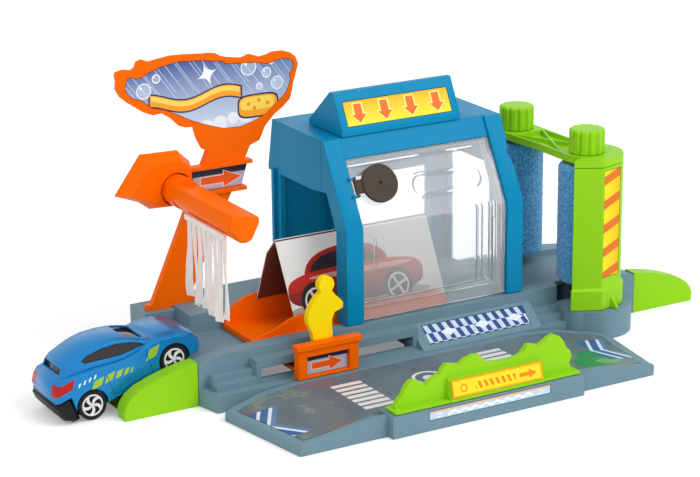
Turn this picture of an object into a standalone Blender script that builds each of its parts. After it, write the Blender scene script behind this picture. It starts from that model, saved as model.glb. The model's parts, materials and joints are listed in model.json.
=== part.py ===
"""Toy car wash playset: moulded pieces on a road base, jointed, in metres, +Z up.

X runs along the road from the entry ramp to the exit ramp, Y from front to back, Z up.
Every place is measured from the front left foot of the road base. All pieces hang on one
empty, which brings the middle of the set's footprint to the world origin. A piece that
moves has its origin on the axis of its joint.
"""
import math

import bmesh
import bpy
from mathutils import Matrix, Vector

# Fits shared by all pieces
SEAT_GAP = 0.0003
RUNNING_GAP = 0.0006
OVERRUN = 0.0015
WELD = 0.000004
LABEL_THICKNESS = 0.0004
LABEL_RECESS = 0.0008

# Road base
BASE_LEFT = -0.0027
BASE_LENGTH = 0.2355
BASE_BACK = 0.0820
BASE_RIGHT_BACK = 0.0720
BASE_WALL = 0.0020
BASE_RIB_PITCH = 0.0290
BASE_RIB = 0.0012
ROAD_HEIGHT = 0.0188
ROAD_ENTRY_HEIGHT = 0.0160
ROAD_SLOPE_LENGTH = 0.0147
ROAD_FRONT = 0.0200
ROAD_BACK = 0.0505
KERB_FRONT = 0.0123
KERB_HEIGHT = 0.0220
KERB_END_HEIGHT = 0.0195
KERB_BREAK_LEFT = 0.1890
KERB_BREAK_RIGHT = 0.2206
APRON_HEIGHT = 0.0080
APRON_LENGTH = 0.1874
RAIL_DEPTH = 0.0090
RAIL_LIP_DEPTH = 0.0018
RAIL_LIP_HEIGHT = 0.0010
STEP_DEPTH = 0.0040
STEP_RISE = 0.0030
LEFT_STAIR_X = 0.0020
LEFT_STAIR_LENGTH = 0.0200
HANDRAIL_THICKNESS = 0.0024
HANDRAIL_HEIGHT = 0.0175
SLOT_LEFT = 0.0250
SLOT_LENGTH = 0.0810
SLOT_ROOF = 0.0140
SLOT_BAY_BACK = 0.0400
LEDGE_HEIGHT = 0.0180
LEDGE_FRONT = 0.0064
BACK_BLOCK_HEIGHT = 0.0268
BACK_BLOCK_FRONT = 0.0648
BACK_WALL_LEFT = 0.0125
BACK_WALL_HEIGHT = 0.0278
BACK_KERB_FRONT = 0.0620
BACK_KERB_HEIGHT = 0.0215
DECK_HOLE_LENGTH = 0.0125
DECK_HOLE_FRONT = 0.0190
DECK_HOLE_BACK = 0.0256
CUP_X = 0.2040
CUP_Y = 0.0070
CUP_RADIUS = 0.0188
SIDE_CUP_X = 0.1925
SIDE_CUP_Y = 0.0020
SIDE_CUP_RADIUS = 0.0080
CUP_HEIGHT = 0.0136
CUP_SIDES = 48
TAB_LENGTH = 0.0040
TAB_DEPTH = 0.0030
TAB_DROP = 0.0035
REAR_TAB_DEPTH = 0.0014

# Slanted checker panel on the front of the base
PANEL_LEFT = 0.1060
PANEL_LENGTH = 0.0655
PANEL_FOOT_Y = 0.0012
PANEL_TOP_HEIGHT = 0.0175
PANEL_SIDE_BORDER = 0.0048
PANEL_FOOT_BORDER = 0.0026
PANEL_TOP_BORDER = 0.0016

# Ramps
RAMP_LENGTH = 0.0353
RAMP_HEIGHT = 0.0202
RAMP_FRONT = 0.0125
RAMP_WIDTH = 0.0455
RAMP_WALL = 0.0018
RAMP_TOE_HEIGHT = 0.0006
ENTRY_TOE_REACH = -0.0031
EXIT_TOE_REACH = 0.0035
RAMP_KERB_SHARES = [
    (0.0, 0.0), (0.0, 1.0), (0.15, 0.965), (0.35, 0.895), (0.58, 0.785), (0.79, 0.645), (0.91, 0.50),
    (0.98, 0.35), (1.01, 0.20), (1.0, 0.0),
]

# Forecourt in front of the base
YARD_LEFT = -0.0010
YARD_LENGTH = 0.1990
YARD_BACK = -0.0006
YARD_FRONT = -0.0610
YARD_HEIGHT = 0.0074
YARD_RIM_HEIGHT = 0.0094
YARD_TIP_HEIGHT = 0.0030
YARD_TIP_INSET = 0.0083
YARD_WING_LENGTH = 0.0400
YARD_SKIN = 0.0016
YARD_RIM_WIDTH = 0.0030
YARD_KERB_WIDTH = 0.0045
YARD_KERB_RISE = 0.0006
YARD_BLOCK_LEFT = 0.0498
YARD_BLOCK_LENGTH = 0.0986
YARD_BLOCK_DEPTH = 0.0120
YARD_BLOCK_REACH = 0.0040
YARD_BLOCK_HEIGHT = 0.0100
YARD_CORNER_LENGTH = 0.0200
YARD_CORNER_DEPTH = 0.0084
YARD_RIGHT_CORNER_DEPTH = 0.0132
YARD_CORNER_SHARES = [(0.0, 1.0), (0.18, 0.71), (0.36, 0.50), (0.55, 0.39), (0.78, 0.20), (1.0, 0.0)]
YARD_RIB_PITCH = 0.0280
YARD_RIB = 0.0012
YARD_LABEL_INSET = 0.0180
YARD_LABEL_HEIGHT = 0.0044
YARD_LABEL_TOP_BORDER = 0.0010

# Hedge with its sign, standing on the front block of the forecourt
HEDGE_LENGTH = 0.0950
HEDGE_STRIP_DEPTH = 0.0088
HEDGE_STRIP_FRONT = 0.0008
HEDGE_STRIP_HEIGHT = 0.0012
HEDGE_THICKNESS = 0.0026
HEDGE_SET_BACK = 0.0046
HEDGE_RISE = 0.0180
HEDGE_OUTLINE_SHARES = [
    (0.020, 0.0), (0.020, 0.10), (0.035, 0.22), (0.060, 0.35), (0.075, 0.52), (0.100, 0.64),
    (0.125, 0.66), (0.150, 0.58), (0.175, 0.45), (0.200, 0.54), (0.225, 0.61), (0.255, 0.66),
    (0.270, 0.78), (0.290, 0.88), (0.325, 0.84), (0.360, 0.80), (0.395, 0.90), (0.440, 0.96),
    (0.470, 0.93), (0.485, 0.82), (0.505, 0.70), (0.560, 0.67), (0.605, 0.64), (0.650, 0.66),
    (0.690, 0.70), (0.715, 0.82), (0.730, 0.92), (0.760, 0.90), (0.795, 0.84), (0.820, 0.90),
    (0.845, 0.99), (0.875, 1.04), (0.910, 0.96), (0.930, 0.83), (0.945, 0.66), (0.970, 0.53),
    (0.978, 0.38), (0.965, 0.22), (0.975, 0.10), (0.975, 0.0),
]
SIGN_LEFT_SHARE = 0.290
SIGN_LENGTH = 0.0480
SIGN_RISE = 0.0088
SIGN_FOOT_DEPTH = 0.0040
SIGN_HEAD_DEPTH = 0.0016
SIGN_BORDER = 0.0007

# House
HOUSE_LEFT = 0.0735
HOUSE_LENGTH = 0.0951
HOUSE_FRONT = 0.0140
HOUSE_KINK_HEIGHT = 0.0670
HOUSE_EAVES_HEIGHT = 0.1040
HOUSE_EAVES_SETBACK = 0.0205
HOUSE_ROOF_BACK = 0.0825
HOUSE_SKIRT_BACK = 0.0870
HOUSE_SKIRT_HEIGHT = 0.0790
HOUSE_SKIRT_FRONT_RISE = 0.0015
HOUSE_SIDE = 0.0022
HOUSE_SKIN = 0.0018
POST_WIDTH = 0.0087
POST_DEPTH = 0.0092
HEADER_SETBACK = 0.0012
HEADER_DROP = 0.0088
REAR_WALL_BACK = 0.0815
REAR_FLANGE = 0.0016
REAR_PILLAR_LEFT = 0.0300
REAR_PILLAR_RIGHT = 0.0125
REAR_OPENING_HEIGHT = 0.0480
REAR_RIB_DEPTH = 0.0040
REAR_RIB_WIDTH = 0.0025
HOUSE_SEAM_Y = 0.0365
NOTCH_DROP = 0.0160
NOTCH_LENGTH = 0.0060
NOTCH_DEPTH = 0.0016

# Sign box on the roof
HOOD_INSET = 0.0105
HOOD_LENGTH = 0.0630
HOOD_FRONT = 0.0350
HOOD_LIP_HEIGHT = 0.0020
HOOD_RIDGE_Y = 0.0450
HOOD_RIDGE_RISE = 0.0188
HOOD_RIDGE_WIDTH = 0.0028
HOOD_BACK = 0.0660
HOOD_WALL = 0.0015
HOOD_SIDE_BORDER = 0.0036
HOOD_FOOT_BORDER = 0.0022
HOOD_TOP_BORDER = 0.0046

# Clear water window
WINDOW_THICKNESS = 0.0014
WINDOW_SETBACK = 0.0016
WINDOW_FLANGE = 0.0066
WINDOW_FOOT_GAP = 0.0008
WINDOW_RIB_RISE = 0.0008
WINDOW_RIB_WIDTH = 0.0012
WINDOW_FRAME_INSET = 0.0060

# Filler cap with its strap
CAP_PIVOT_X = 0.0836
CAP_CENTRE_X = 0.0957
CAP_ALONG_SLANT = 0.0191
CAP_RADIUS = 0.0089
CAP_THICKNESS = 0.0020
CAP_STAND_OFF = 0.0002
CAP_PLUG_RADIUS = 0.0056
CAP_PLUG_LENGTH = 0.0036
CAP_STRAP_WIDTH = 0.0064
CAP_STRAP_THICKNESS = 0.0012
CAP_BARREL_RADIUS = 0.0009
CAP_PIN_RADIUS = 0.0005
CAP_LUG = 0.0012
CAP_DIMPLE_RADIUS = 0.0008
CAP_SIDES = 48
PIN_SIDES = 16

# Tower with the sign board
TOWER_FRONT = 0.0683
TOWER_THICKNESS = 0.0034
TOWER_WEB = 0.0014
TOWER_RIM = 0.0020
TOWER_SOCKET_DEPTH = 0.0022
TOWER_LEG_LEFT = 0.0024
TOWER_LEG_WIDTH = 0.0196
TOWER_LEG_RISE = 0.0730
TOWER_LEG_SPREAD = 0.0022
TOWER_LEAN = 0.0314
TOWER_POCKET_SHARE = 0.62
ARROW_BOX_REACH = 0.0545
ARROW_BOX_DROP = 0.0211
ARROW_BOX_RISE = 0.0122
ARROW_LIP = 0.0017
ARROW_LIP_REACH = 0.0011
ARROW_FOOT_INSET = 0.0031
ARROW_LABEL_LEFT = 0.0250
BOARD_LEFT = -0.0120
BOARD_LENGTH = 0.0930
BOARD_LIFT = 0.0084
BOARD_RISE = 0.0320
BOARD_DRAFT = 0.0010
BOARD_OUTLINE_SHARES = [
    (0.000, 0.93), (0.012, 0.99), (0.045, 1.01), (0.090, 0.985), (0.108, 1.02), (0.118, 1.09),
    (0.140, 1.12), (0.176, 1.075), (0.235, 1.10), (0.295, 1.12), (0.370, 1.11), (0.450, 1.09),
    (0.500, 1.085), (0.535, 1.065), (0.560, 1.02), (0.595, 0.99), (0.680, 0.95), (0.717, 0.99),
    (0.770, 0.935), (0.825, 0.95), (0.850, 0.98), (0.900, 0.975), (0.945, 0.93), (0.975, 0.86),
    (0.990, 0.75), (0.978, 0.64), (0.970, 0.56), (0.960, 0.48), (0.952, 0.36), (0.940, 0.25),
    (0.900, 0.15), (0.850, 0.055), (0.800, -0.09), (0.766, -0.29), (0.708, -0.35), (0.473, -0.32),
    (0.443, -0.28), (0.420, -0.15), (0.402, 0.05), (0.365, 0.055), (0.325, 0.10), (0.285, 0.22),
    (0.240, 0.31), (0.195, 0.30), (0.145, 0.36), (0.100, 0.45), (0.060, 0.53), (0.020, 0.63),
    (0.002, 0.72), (0.006, 0.84),
]
BOARD_LABEL_SHARES = [
    (0.059, 0.81), (0.068, 0.87), (0.088, 0.88), (0.114, 0.85), (0.150, 0.87), (0.174, 0.91),
    (0.250, 0.98), (0.338, 1.015), (0.473, 0.985), (0.520, 0.955), (0.571, 0.94), (0.592, 0.895),
    (0.670, 0.875), (0.755, 0.855), (0.824, 0.81), (0.868, 0.845), (0.903, 0.86), (0.950, 0.83),
    (0.966, 0.76), (0.960, 0.68), (0.940, 0.62), (0.948, 0.53), (0.923, 0.36), (0.870, 0.22),
    (0.803, 0.075), (0.730, -0.01), (0.661, -0.055), (0.569, -0.045), (0.480, 0.04), (0.388, 0.15),
    (0.329, 0.245), (0.260, 0.345), (0.189, 0.40), (0.139, 0.52), (0.090, 0.575), (0.067, 0.63),
    (0.050, 0.72),
]
BOARD_POCKET_SHARES = [
    (0.09, 0.70), (0.13, 0.78), (0.34, 0.93), (0.47, 0.90), (0.57, 0.85), (0.75, 0.77), (0.92, 0.75),
    (0.92, 0.62), (0.90, 0.48), (0.87, 0.34), (0.79, 0.13), (0.66, 0.03), (0.58, 0.04), (0.41, 0.23),
    (0.29, 0.41), (0.20, 0.49), (0.13, 0.61),
]

# Flared collar that carries the boom on the front of the tower
COLLAR_LENGTH = 0.0078
COLLAR_FACE_SHARE = 0.80
COLLAR_BACK_SHARE = 0.72
COLLAR_CENTRE_X = 0.0040
COLLAR_CENTRE_RISE = 0.0034
COLLAR_RADIUS = 0.0190
COLLAR_SHARES = [
    (-1.01, -0.19), (-0.33, 0.72), (0.63, 0.69), (0.95, 0.38), (0.98, 0.05), (0.76, -0.45), (0.47, -0.66),
    (-0.14, -0.63), (-0.42, -0.42),
]

# Boom over the road
BOOM_X = 0.0128
BOOM_HEIGHT = 0.0846
BOOM_END_Y = -0.0050
BOOM_TIP_LENGTH = 0.0014
BOOM_TIP_SHARE = 0.90
BOOM_WIDTH = 0.0147
BOOM_DEPTH = 0.0125
BOOM_OUTLINE_SHARES = [
    (-0.42, 0.37), (-0.36, 0.41), (0.46, 0.25), (0.51, 0.21), (0.52, 0.04), (0.26, -0.55), (0.20, -0.60),
    (0.06, -0.645), (-0.12, -0.60), (-0.19, -0.53), (-0.50, -0.08), (-0.51, 0.0),
]
BOOM_BLEND_LENGTH = 0.0060
BOOM_ROOT_Y = 0.0570
BOOM_ROOT_RADIUS = 0.0071
BOOM_GROOVE = 0.0006
BOOM_PIN_RADIUS = 0.0024
BOOM_SCREW_HEAD_RADIUS = 0.0040
BOOM_SCREW_HEAD_LENGTH = 0.0016
BOOM_SCREW_RADIUS = 0.0012
ROD_SIDES = 32

# Wash curtain under the boom
CURTAIN_X = 0.0093
CURTAIN_HANG = 0.0054
CURTAIN_BAR_WIDTH = 0.0030
CURTAIN_BAR_RISE = 0.0034
CURTAIN_BAR_LEAN_SHARE = 0.58
CURTAIN_FRONT = 0.0056
CURTAIN_BACK = 0.0416
CURTAIN_COUNT = 8
CURTAIN_CUT = 0.0011
STRIP_THICKNESS = 0.0009
STRIP_DROP = 0.0370
STRIP_ROWS = 8
STRIP_WAVE_SHARE = 0.8
STRIP_BOW_SHARE = 0.6
STRIP_FOLD = 0.0010
STRIP_TURN = math.radians(34)
STRIP_DROP_SHARES = [0.985, 1.05, 0.97, 1.04, 1.00, 0.99, 1.03, 0.95]
STRIP_PHASE_SHARES = [0.10, 0.62, 0.35, 0.85, 0.20, 0.55, 0.05, 0.70]

# Foam rollers
ROLLER_FRONT_X = 0.2010
ROLLER_FRONT_Y = 0.0093
ROLLER_BACK_X = 0.1980
ROLLER_BACK_Y = 0.0635
ROLLER_RADIUS = 0.0133
ROLLER_TOP = 0.0815
ROLLER_FOOT = 0.0240
ROLLER_EDGE = 0.0016
ROLLER_SIDES = 40
SHAFT_RADIUS = 0.0028
SHAFT_SQUARE_SHARE = 0.62
KNOB_RADIUS = 0.0084
KNOB_RISE = 0.0112
KNOB_FLUTES = 12
KNOB_FLUTE_SHARE = 0.88
KNOB_EDGE = 0.0008

# Bridge and column that hold the rollers
BRIDGE_FOOT = 0.0832
BRIDGE_THICKNESS = 0.0034
BRIDGE_WIDTH = 0.0215
BRIDGE_WAIST_SHARE = 0.86
BRIDGE_WEB = 0.0014
BRIDGE_RIM = 0.0014
COLUMN_RADIUS = 0.0172
COLUMN_WALL = 0.0018
COLUMN_TOP = 0.0829
COLUMN_FACE_TURN = math.radians(-76)
COLUMN_EDGE_TURN = math.radians(-98)
COLUMN_LEFT_TURN = math.radians(-144)
COLUMN_RIGHT_TURN = math.radians(22)
COLUMN_LEFT_SHARE = 1.06
COLUMN_STEPS = 8
COLUMN_FLARE = 0.0012
COLUMN_FLARE_HEIGHT = 0.0105
COLUMN_LABEL_WIDTH = 0.0116
COLUMN_LABEL_FOOT = 0.0290
COLUMN_LABEL_RISE = 0.0523
GUSSET_REACH = 0.0055
GUSSET_RISE = 0.0072
GUSSET_THICKNESS = 0.0012

# Carriage: tray in the road, arm through the slot, sign frame outside
TRAY_LEFT = 0.0285
TRAY_LENGTH = 0.1040
TRAY_FRONT = 0.0206
TRAY_WIDTH = 0.0293
TRAY_FLOOR = 0.0016
TRAY_FIN = 0.0018
TRAY_FIN_FRONT = 0.0240
TRAY_FRONT_FIN_RISE = 0.0092
TRAY_FRONT_FIN_SHARES = [
    (0.0, 0.0), (0.0, 0.17), (0.05, 0.26), (0.11, 0.40), (0.16, 0.64), (0.20, 0.85), (0.25, 0.97),
    (0.30, 1.0), (0.90, 1.0), (0.95, 0.94), (0.985, 0.72), (1.0, 0.40), (1.0, 0.0),
]
TRAY_BACK_FIN_RISE = 0.0146
TRAY_BACK_FIN_SHARES = [
    (0.0, 0.0), (0.0, 0.20), (0.03, 0.55), (0.06, 0.76), (0.11, 0.92), (0.17, 1.0),
    (0.90, 1.0), (0.95, 0.94), (0.985, 0.75), (1.0, 0.45), (1.0, 0.0),
]
TRAY_LIP_LENGTH = 0.0030
TRAY_LIP_RISE = 0.0010
TRAVEL_BACK = 0.0140
TRAVEL_FORWARD = 0.0330
ARM_LEFT = 0.0415
ARM_LENGTH = 0.0275
ARM_THICKNESS = 0.0018
STEM_LEFT = 0.0480
STEM_LENGTH = 0.0120
STEM_FRONT = 0.0270
STEM_DEPTH = 0.0060
FRAME_LEFT = 0.0390
FRAME_LENGTH = 0.0305
FRAME_FRONT = -0.0026
FRAME_THICKNESS = 0.0041
FRAME_RISE = 0.0157
FRAME_SIDE = 0.0044
FRAME_FOOT = 0.0010
FRAME_TOP = 0.0056
FRAME_BAR_OVERHANG = 0.0016
FRAME_BAR_RISE = 0.0024
FRAME_PLATE = 0.0016
SCREW_RADIUS = 0.0012
SCREW_HEAD_RADIUS = 0.0024
SCREW_HEAD_RISE = 0.0014

# Attendant figure behind the frame
FIGURE_X = 0.0535
FIGURE_FRONT = 0.0021
FIGURE_THICKNESS = 0.0034
FIGURE_RISE = 0.0371
FIGURE_WIDTH = 0.0186
FIGURE_HEAD_RADIUS = 0.0039
FIGURE_HEAD_SHIFT = 0.0028
FIGURE_TAB_LENGTH = 0.0070
FIGURE_TAB_DROP = 0.0012
FIGURE_TAB_EDGE = 0.0008
FIGURE_OUTLINE_SHARES = [
    (-0.40, 0.0), (-0.40, 0.08), (-0.17, 0.10), (-0.16, 0.27), (-0.22, 0.33), (-0.25, 0.42), (-0.30, 0.48),
    (-0.36, 0.55), (-0.38, 0.62), (-0.33, 0.72), (-0.20, 0.82), (-0.06, 0.89), (0.02, 0.93), (0.28, 0.93),
    (0.40, 0.85), (0.53, 0.79), (0.60, 0.74), (0.58, 0.68), (0.48, 0.66), (0.36, 0.64), (0.29, 0.56),
    (0.285, 0.44), (0.30, 0.38), (0.28, 0.28), (0.20, 0.24), (0.20, 0.10), (0.40, 0.08), (0.40, 0.0),
]

# Folded card standing in the tray, its back flap shorter than its front panel
CARD_LEFT = 0.0498
CARD_LENGTH = 0.0799
CARD_HEIGHT = 0.0395
CARD_APEX_Y = 0.0380
CARD_SHEAR = 0.0042
CARD_FLAP_DROP = 0.0296
CARD_FLAP_REACH = 0.0047
CARD_SHOULDER_SHARE = 0.20
CARD_SHOULDER_REACH = 0.0033
CARD_THICKNESS = 0.0006

# Toy car on the entry ramp, measured from its rear axle
CAR_X = -0.0493
CAR_Y = 0.03525
CAR_AXLE_HEIGHT = 0.0069
CAR_PITCH = math.radians(19)
CAR_WHEELBASE = 0.0418
CAR_WHEEL_RADIUS = 0.0066
CAR_WHEEL_WIDTH = 0.0044
CAR_WHEEL_FACE = 0.0136
CAR_RIM_SHARE = 0.78
CAR_AXLE_RADIUS = 0.0007
CAR_HALF_WIDTH = 0.0142
CAR_HEIGHT = 0.0210
CAR_LENGTH = 0.0725
CAR_TAIL = 0.0158
CAR_SIDE_ROUND = 0.0018
CAR_SIDE_ROUND_SHARE = 0.60
CAR_ARCH_RADIUS = 0.0075
CAR_ARCH_DEPTH = 0.0054
CAR_BASE_HEIGHT = -0.0034
CAR_BASE_THICKNESS = 0.0013
CAR_BASE_INSET = 0.0024
CAR_BASE_END = 0.0060
CAR_BUMPER_HALF_WIDTH = 0.0141
CAR_BODY_SHARES = [
    (0.060, -0.150), (0.025, -0.02), (0.004, 0.16), (0.000, 0.36), (0.022, 0.44), (0.022, 0.54),
    (0.050, 0.70), (0.090, 0.80), (0.180, 0.80), (0.300, 0.74), (0.400, 0.66), (0.500, 0.58),
    (0.600, 0.57), (0.690, 0.62), (0.760, 0.60), (0.850, 0.53), (0.920, 0.43), (0.970, 0.29),
    (0.990, 0.12), (0.980, -0.05), (0.955, -0.150),
]
CAR_CABIN_SHARES = [
    (0.070, 0.42), (0.100, 0.80), (0.140, 0.97), (0.175, 1.04), (0.270, 1.10), (0.330, 1.115),
    (0.400, 1.10), (0.490, 1.02), (0.565, 0.92), (0.640, 0.78), (0.715, 0.62), (0.770, 0.42),
]
CAR_CABIN_HALF_WIDTH = 0.0126
CAR_ROOF_HALF_WIDTH = 0.0098
CAR_SHELL = 0.0009
CAR_SIDE_WINDOW_SHARES = [
    (0.280, 0.850), (0.262, 0.930), (0.300, 0.985), (0.405, 0.975), (0.510, 0.900), (0.585, 0.790),
    (0.635, 0.690), (0.665, 0.600), (0.620, 0.610), (0.500, 0.640), (0.390, 0.745),
]
CAR_SCREEN_HALF_WIDTH = 0.0086
CAR_SCREEN_SHARES = [(0.560, 0.860), (0.675, 0.620), (0.800, 0.900), (0.640, 1.150)]
CAR_REAR_SCREEN_SHARES = [(0.165, 0.950), (0.140, 0.835), (-0.020, 0.860), (0.020, 1.020)]
CAR_BUMPER_SHARES = [
    (0.026, -0.02), (0.006, 0.16), (0.002, 0.34), (0.020, 0.395), (0.112, 0.395), (0.112, -0.16),
    (0.085, -0.16),
]

# Colours as red, green and blue shares of full light
BASE_COLOUR = (0.160, 0.250, 0.295)
BLUE_COLOUR = (0.000, 0.245, 0.480)
LIME_COLOUR = (0.280, 0.640, 0.035)
ORANGE_COLOUR = (1.000, 0.130, 0.005)
YELLOW_COLOUR = (1.000, 0.640, 0.010)
FOAM_COLOUR = (0.030, 0.190, 0.560)
CURTAIN_COLOUR = (0.800, 0.730, 0.680)
RUBBER_COLOUR = (0.060, 0.045, 0.035)
CLEAR_COLOUR = (0.880, 0.900, 0.900)
STEEL_COLOUR = (0.560, 0.570, 0.580)
CAR_COLOUR = (0.010, 0.200, 0.620)
BLACK_COLOUR = (0.015, 0.015, 0.017)
GLASS_COLOUR = (0.030, 0.025, 0.025)
CARD_COLOUR = (0.820, 0.810, 0.790)
LABEL_YELLOW = (0.980, 0.680, 0.020)
LABEL_BLUE = (0.190, 0.330, 0.660)
LABEL_NAVY = (0.040, 0.050, 0.140)
LABEL_SKY = (0.520, 0.660, 0.860)
LABEL_ROAD = (0.120, 0.190, 0.240)

# Places that follow from the sizes above
BASE_RIGHT = BASE_LEFT + BASE_LENGTH
HOUSE_RIGHT = HOUSE_LEFT + HOUSE_LENGTH
PANEL_RIGHT = PANEL_LEFT + PANEL_LENGTH
SLOT_RIGHT = SLOT_LEFT + SLOT_LENGTH
YARD_RIGHT = YARD_LEFT + YARD_LENGTH
YARD_BLOCK_RIGHT = YARD_BLOCK_LEFT + YARD_BLOCK_LENGTH
YARD_BLOCK_FRONT = YARD_FRONT - YARD_BLOCK_REACH
RAMP_BACK = RAMP_FRONT + RAMP_WIDTH
TOWER_BACK = TOWER_FRONT + TOWER_THICKNESS
TRAY_RIGHT = TRAY_LEFT + TRAY_LENGTH
TRAY_BACK = TRAY_FRONT + TRAY_WIDTH
TRAY_FOOT = ROAD_HEIGHT + SEAT_GAP
ARM_FOOT = APRON_HEIGHT + RAIL_LIP_HEIGHT + SEAT_GAP
ARM_TOP = ARM_FOOT + ARM_THICKNESS
FRAME_BASE = APRON_HEIGHT + SEAT_GAP
BRIDGE_TOP = BRIDGE_FOOT + BRIDGE_THICKNESS
CURTAIN_TOP = BOOM_HEIGHT - CURTAIN_HANG
KNOB_FOOT = BRIDGE_TOP + SEAT_GAP
HOOD_FOOT = HOUSE_EAVES_HEIGHT + SEAT_GAP
HEADER_FOOT_HEIGHT = HOUSE_EAVES_HEIGHT - HEADER_DROP
NOTCH_HEIGHT = HOUSE_EAVES_HEIGHT - NOTCH_DROP
TOWER_HEAD = BACK_BLOCK_HEIGHT + SEAT_GAP + TOWER_LEG_RISE
ARROW_BOX_FOOT = TOWER_HEAD - ARROW_BOX_DROP
ARROW_BOX_TOP = ARROW_BOX_FOOT + ARROW_BOX_RISE
BOARD_FOOT = TOWER_HEAD + BOARD_LIFT
HOOD_LEFT = HOUSE_LEFT + HOOD_INSET
CAP_TOP = CAP_STAND_OFF + CAP_THICKNESS
CAP_PIVOT_RISE = CAP_STAND_OFF + CAP_STRAP_THICKNESS / 2


def clear_scene():
    for thing in list(bpy.data.objects):
        bpy.data.objects.remove(thing, do_unlink=True)


def material(name, colour, roughness, metallic=0.0):
    paint = bpy.data.materials.new(name)
    paint.use_nodes = True
    shader = paint.node_tree.nodes["Principled BSDF"]
    shader.inputs["Base Color"].default_value = (*colour, 1.0)
    shader.inputs["Roughness"].default_value = roughness
    shader.inputs["Metallic"].default_value = metallic
    paint.diffuse_color = (*colour, 1.0)
    return paint


# Solids that booleans join and cut
def from_bmesh(shape):
    bmesh.ops.recalc_face_normals(shape, faces=shape.faces)
    mesh = bpy.data.meshes.new("solid")
    shape.to_mesh(mesh)
    shape.free()
    thing = bpy.data.objects.new("solid", mesh)
    bpy.context.scene.collection.objects.link(thing)
    return thing


def loft(sections):
    """A closed solid through rings of points, each ring with as many points."""
    shape = bmesh.new()
    rings = [[shape.verts.new(point) for point in section] for section in sections]
    count = len(rings[0])
    for ring, following in zip(rings, rings[1:]):
        for step in range(count):
            after = (step + 1) % count
            shape.faces.new([ring[step], ring[after], following[after], following[step]])
    shape.faces.new(list(reversed(rings[0])))
    shape.faces.new(rings[-1])
    return from_bmesh(shape)


def lay(outline, axis, depth):
    """An outline's points at a depth: (y, z) on X, (x, z) on Y and (x, y) on Z."""
    if axis == "X":
        return [(depth, a, b) for a, b in outline]
    if axis == "Y":
        return [(a, depth, b) for a, b in outline]
    return [(a, b, depth) for a, b in outline]


def prism(outline, axis, span):
    return loft([lay(outline, axis, span[0]), lay(outline, axis, span[1])])


def box(x_span, y_span, z_span):
    corners = [(x_span[0], y_span[0]), (x_span[1], y_span[0]), (x_span[1], y_span[1]), (x_span[0], y_span[1])]
    return prism(corners, "Z", z_span)


def arc(centre, radius, start, stop, steps):
    turns = [start + (stop - start) * step / steps for step in range(steps + 1)]
    return [(centre[0] + radius * math.cos(turn), centre[1] + radius * math.sin(turn)) for turn in turns]


def circle(centre, radius, sides):
    return arc(centre, radius, 0, 2 * math.pi, sides)[:-1]


def rod(centre, radius, axis, span, sides=ROD_SIDES):
    return prism(circle(centre, radius, sides), axis, span)


def scaled(shares, start, size):
    """Outline points at shares of a size, measured from a start."""
    return [(start[0] + a * size[0], start[1] + b * size[1]) for a, b in shares]


def shrunk(outline, centre, share):
    return [(centre[0] + (a - centre[0]) * share, centre[1] + (b - centre[1]) * share) for a, b in outline]


def area(outline):
    pairs = zip(outline, outline[1:] + outline[:1])
    return sum(a[0] * b[1] - b[0] * a[1] for a, b in pairs) / 2


def inset(outline, distance):
    """The outline with every side moved inwards by a distance."""
    turn = 1 if area(outline) > 0 else -1
    count = len(outline)
    moved = []
    for index in range(count):
        here = Vector(outline[index])
        before = (here - Vector(outline[index - 1])).normalized()
        after = (Vector(outline[(index + 1) % count]) - here).normalized()
        normal_before = Vector((-before.y, before.x)) * turn
        normal_after = Vector((-after.y, after.x)) * turn
        middle = (normal_before + normal_after) / (1 + max(normal_before.dot(normal_after), -0.5))
        moved.append(tuple(here + middle * distance))
    return moved


def apply_modifiers(thing):
    graph = bpy.context.evaluated_depsgraph_get()
    mesh = bpy.data.meshes.new_from_object(thing.evaluated_get(graph))
    thing.modifiers.clear()
    thing.data = mesh


def combine(thing, others, operation):
    for other in others:
        step = thing.modifiers.new("combine", "BOOLEAN")
        step.operation = operation
        step.solver = "EXACT"
        step.object = other
        apply_modifiers(thing)
        bpy.data.objects.remove(other, do_unlink=True)
    return thing


def unite(thing, *others):
    return combine(thing, others, "UNION")


def cut(thing, *others):
    return combine(thing, others, "DIFFERENCE")


def keep(thing, *others):
    return combine(thing, others, "INTERSECT")


def copy_of(thing):
    twin = bpy.data.objects.new("solid", thing.data.copy())
    bpy.context.scene.collection.objects.link(twin)
    return twin


def move(thing, matrix):
    thing.data.transform(matrix)
    return thing


def finish(name, thing, paint, parent, origin=(0, 0, 0), smooth=False):
    """Names a solid, gives it its material and puts its origin at a place of its parent."""
    shape = bmesh.new()
    shape.from_mesh(thing.data)
    bmesh.ops.dissolve_degenerate(shape, dist=WELD, edges=shape.edges)
    loose = [edge for edge in shape.edges if not edge.link_faces]
    bmesh.ops.delete(shape, geom=loose, context="EDGES")
    bmesh.ops.dissolve_limit(shape, angle_limit=math.radians(0.05), verts=shape.verts, edges=shape.edges)
    bmesh.ops.triangulate(shape, faces=shape.faces)
    bmesh.ops.recalc_face_normals(shape, faces=shape.faces)
    shape.to_mesh(thing.data)
    shape.free()
    thing.name = name
    thing.data.name = name
    thing.data.materials.clear()
    thing.data.materials.append(paint)
    thing.data.transform(Matrix.Translation(-Vector(origin)))
    thing.location = origin
    thing.parent = parent
    if smooth:
        thing.data.shade_smooth()
        thing.data.set_sharp_from_angle(angle=math.radians(35))
    return thing


def empty(name, parent=None, location=(0, 0, 0), rotation=(0, 0, 0)):
    thing = bpy.data.objects.new(name, None)
    bpy.context.scene.collection.objects.link(thing)
    thing.location = location
    thing.rotation_euler = rotation
    thing.parent = parent
    return thing


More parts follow.
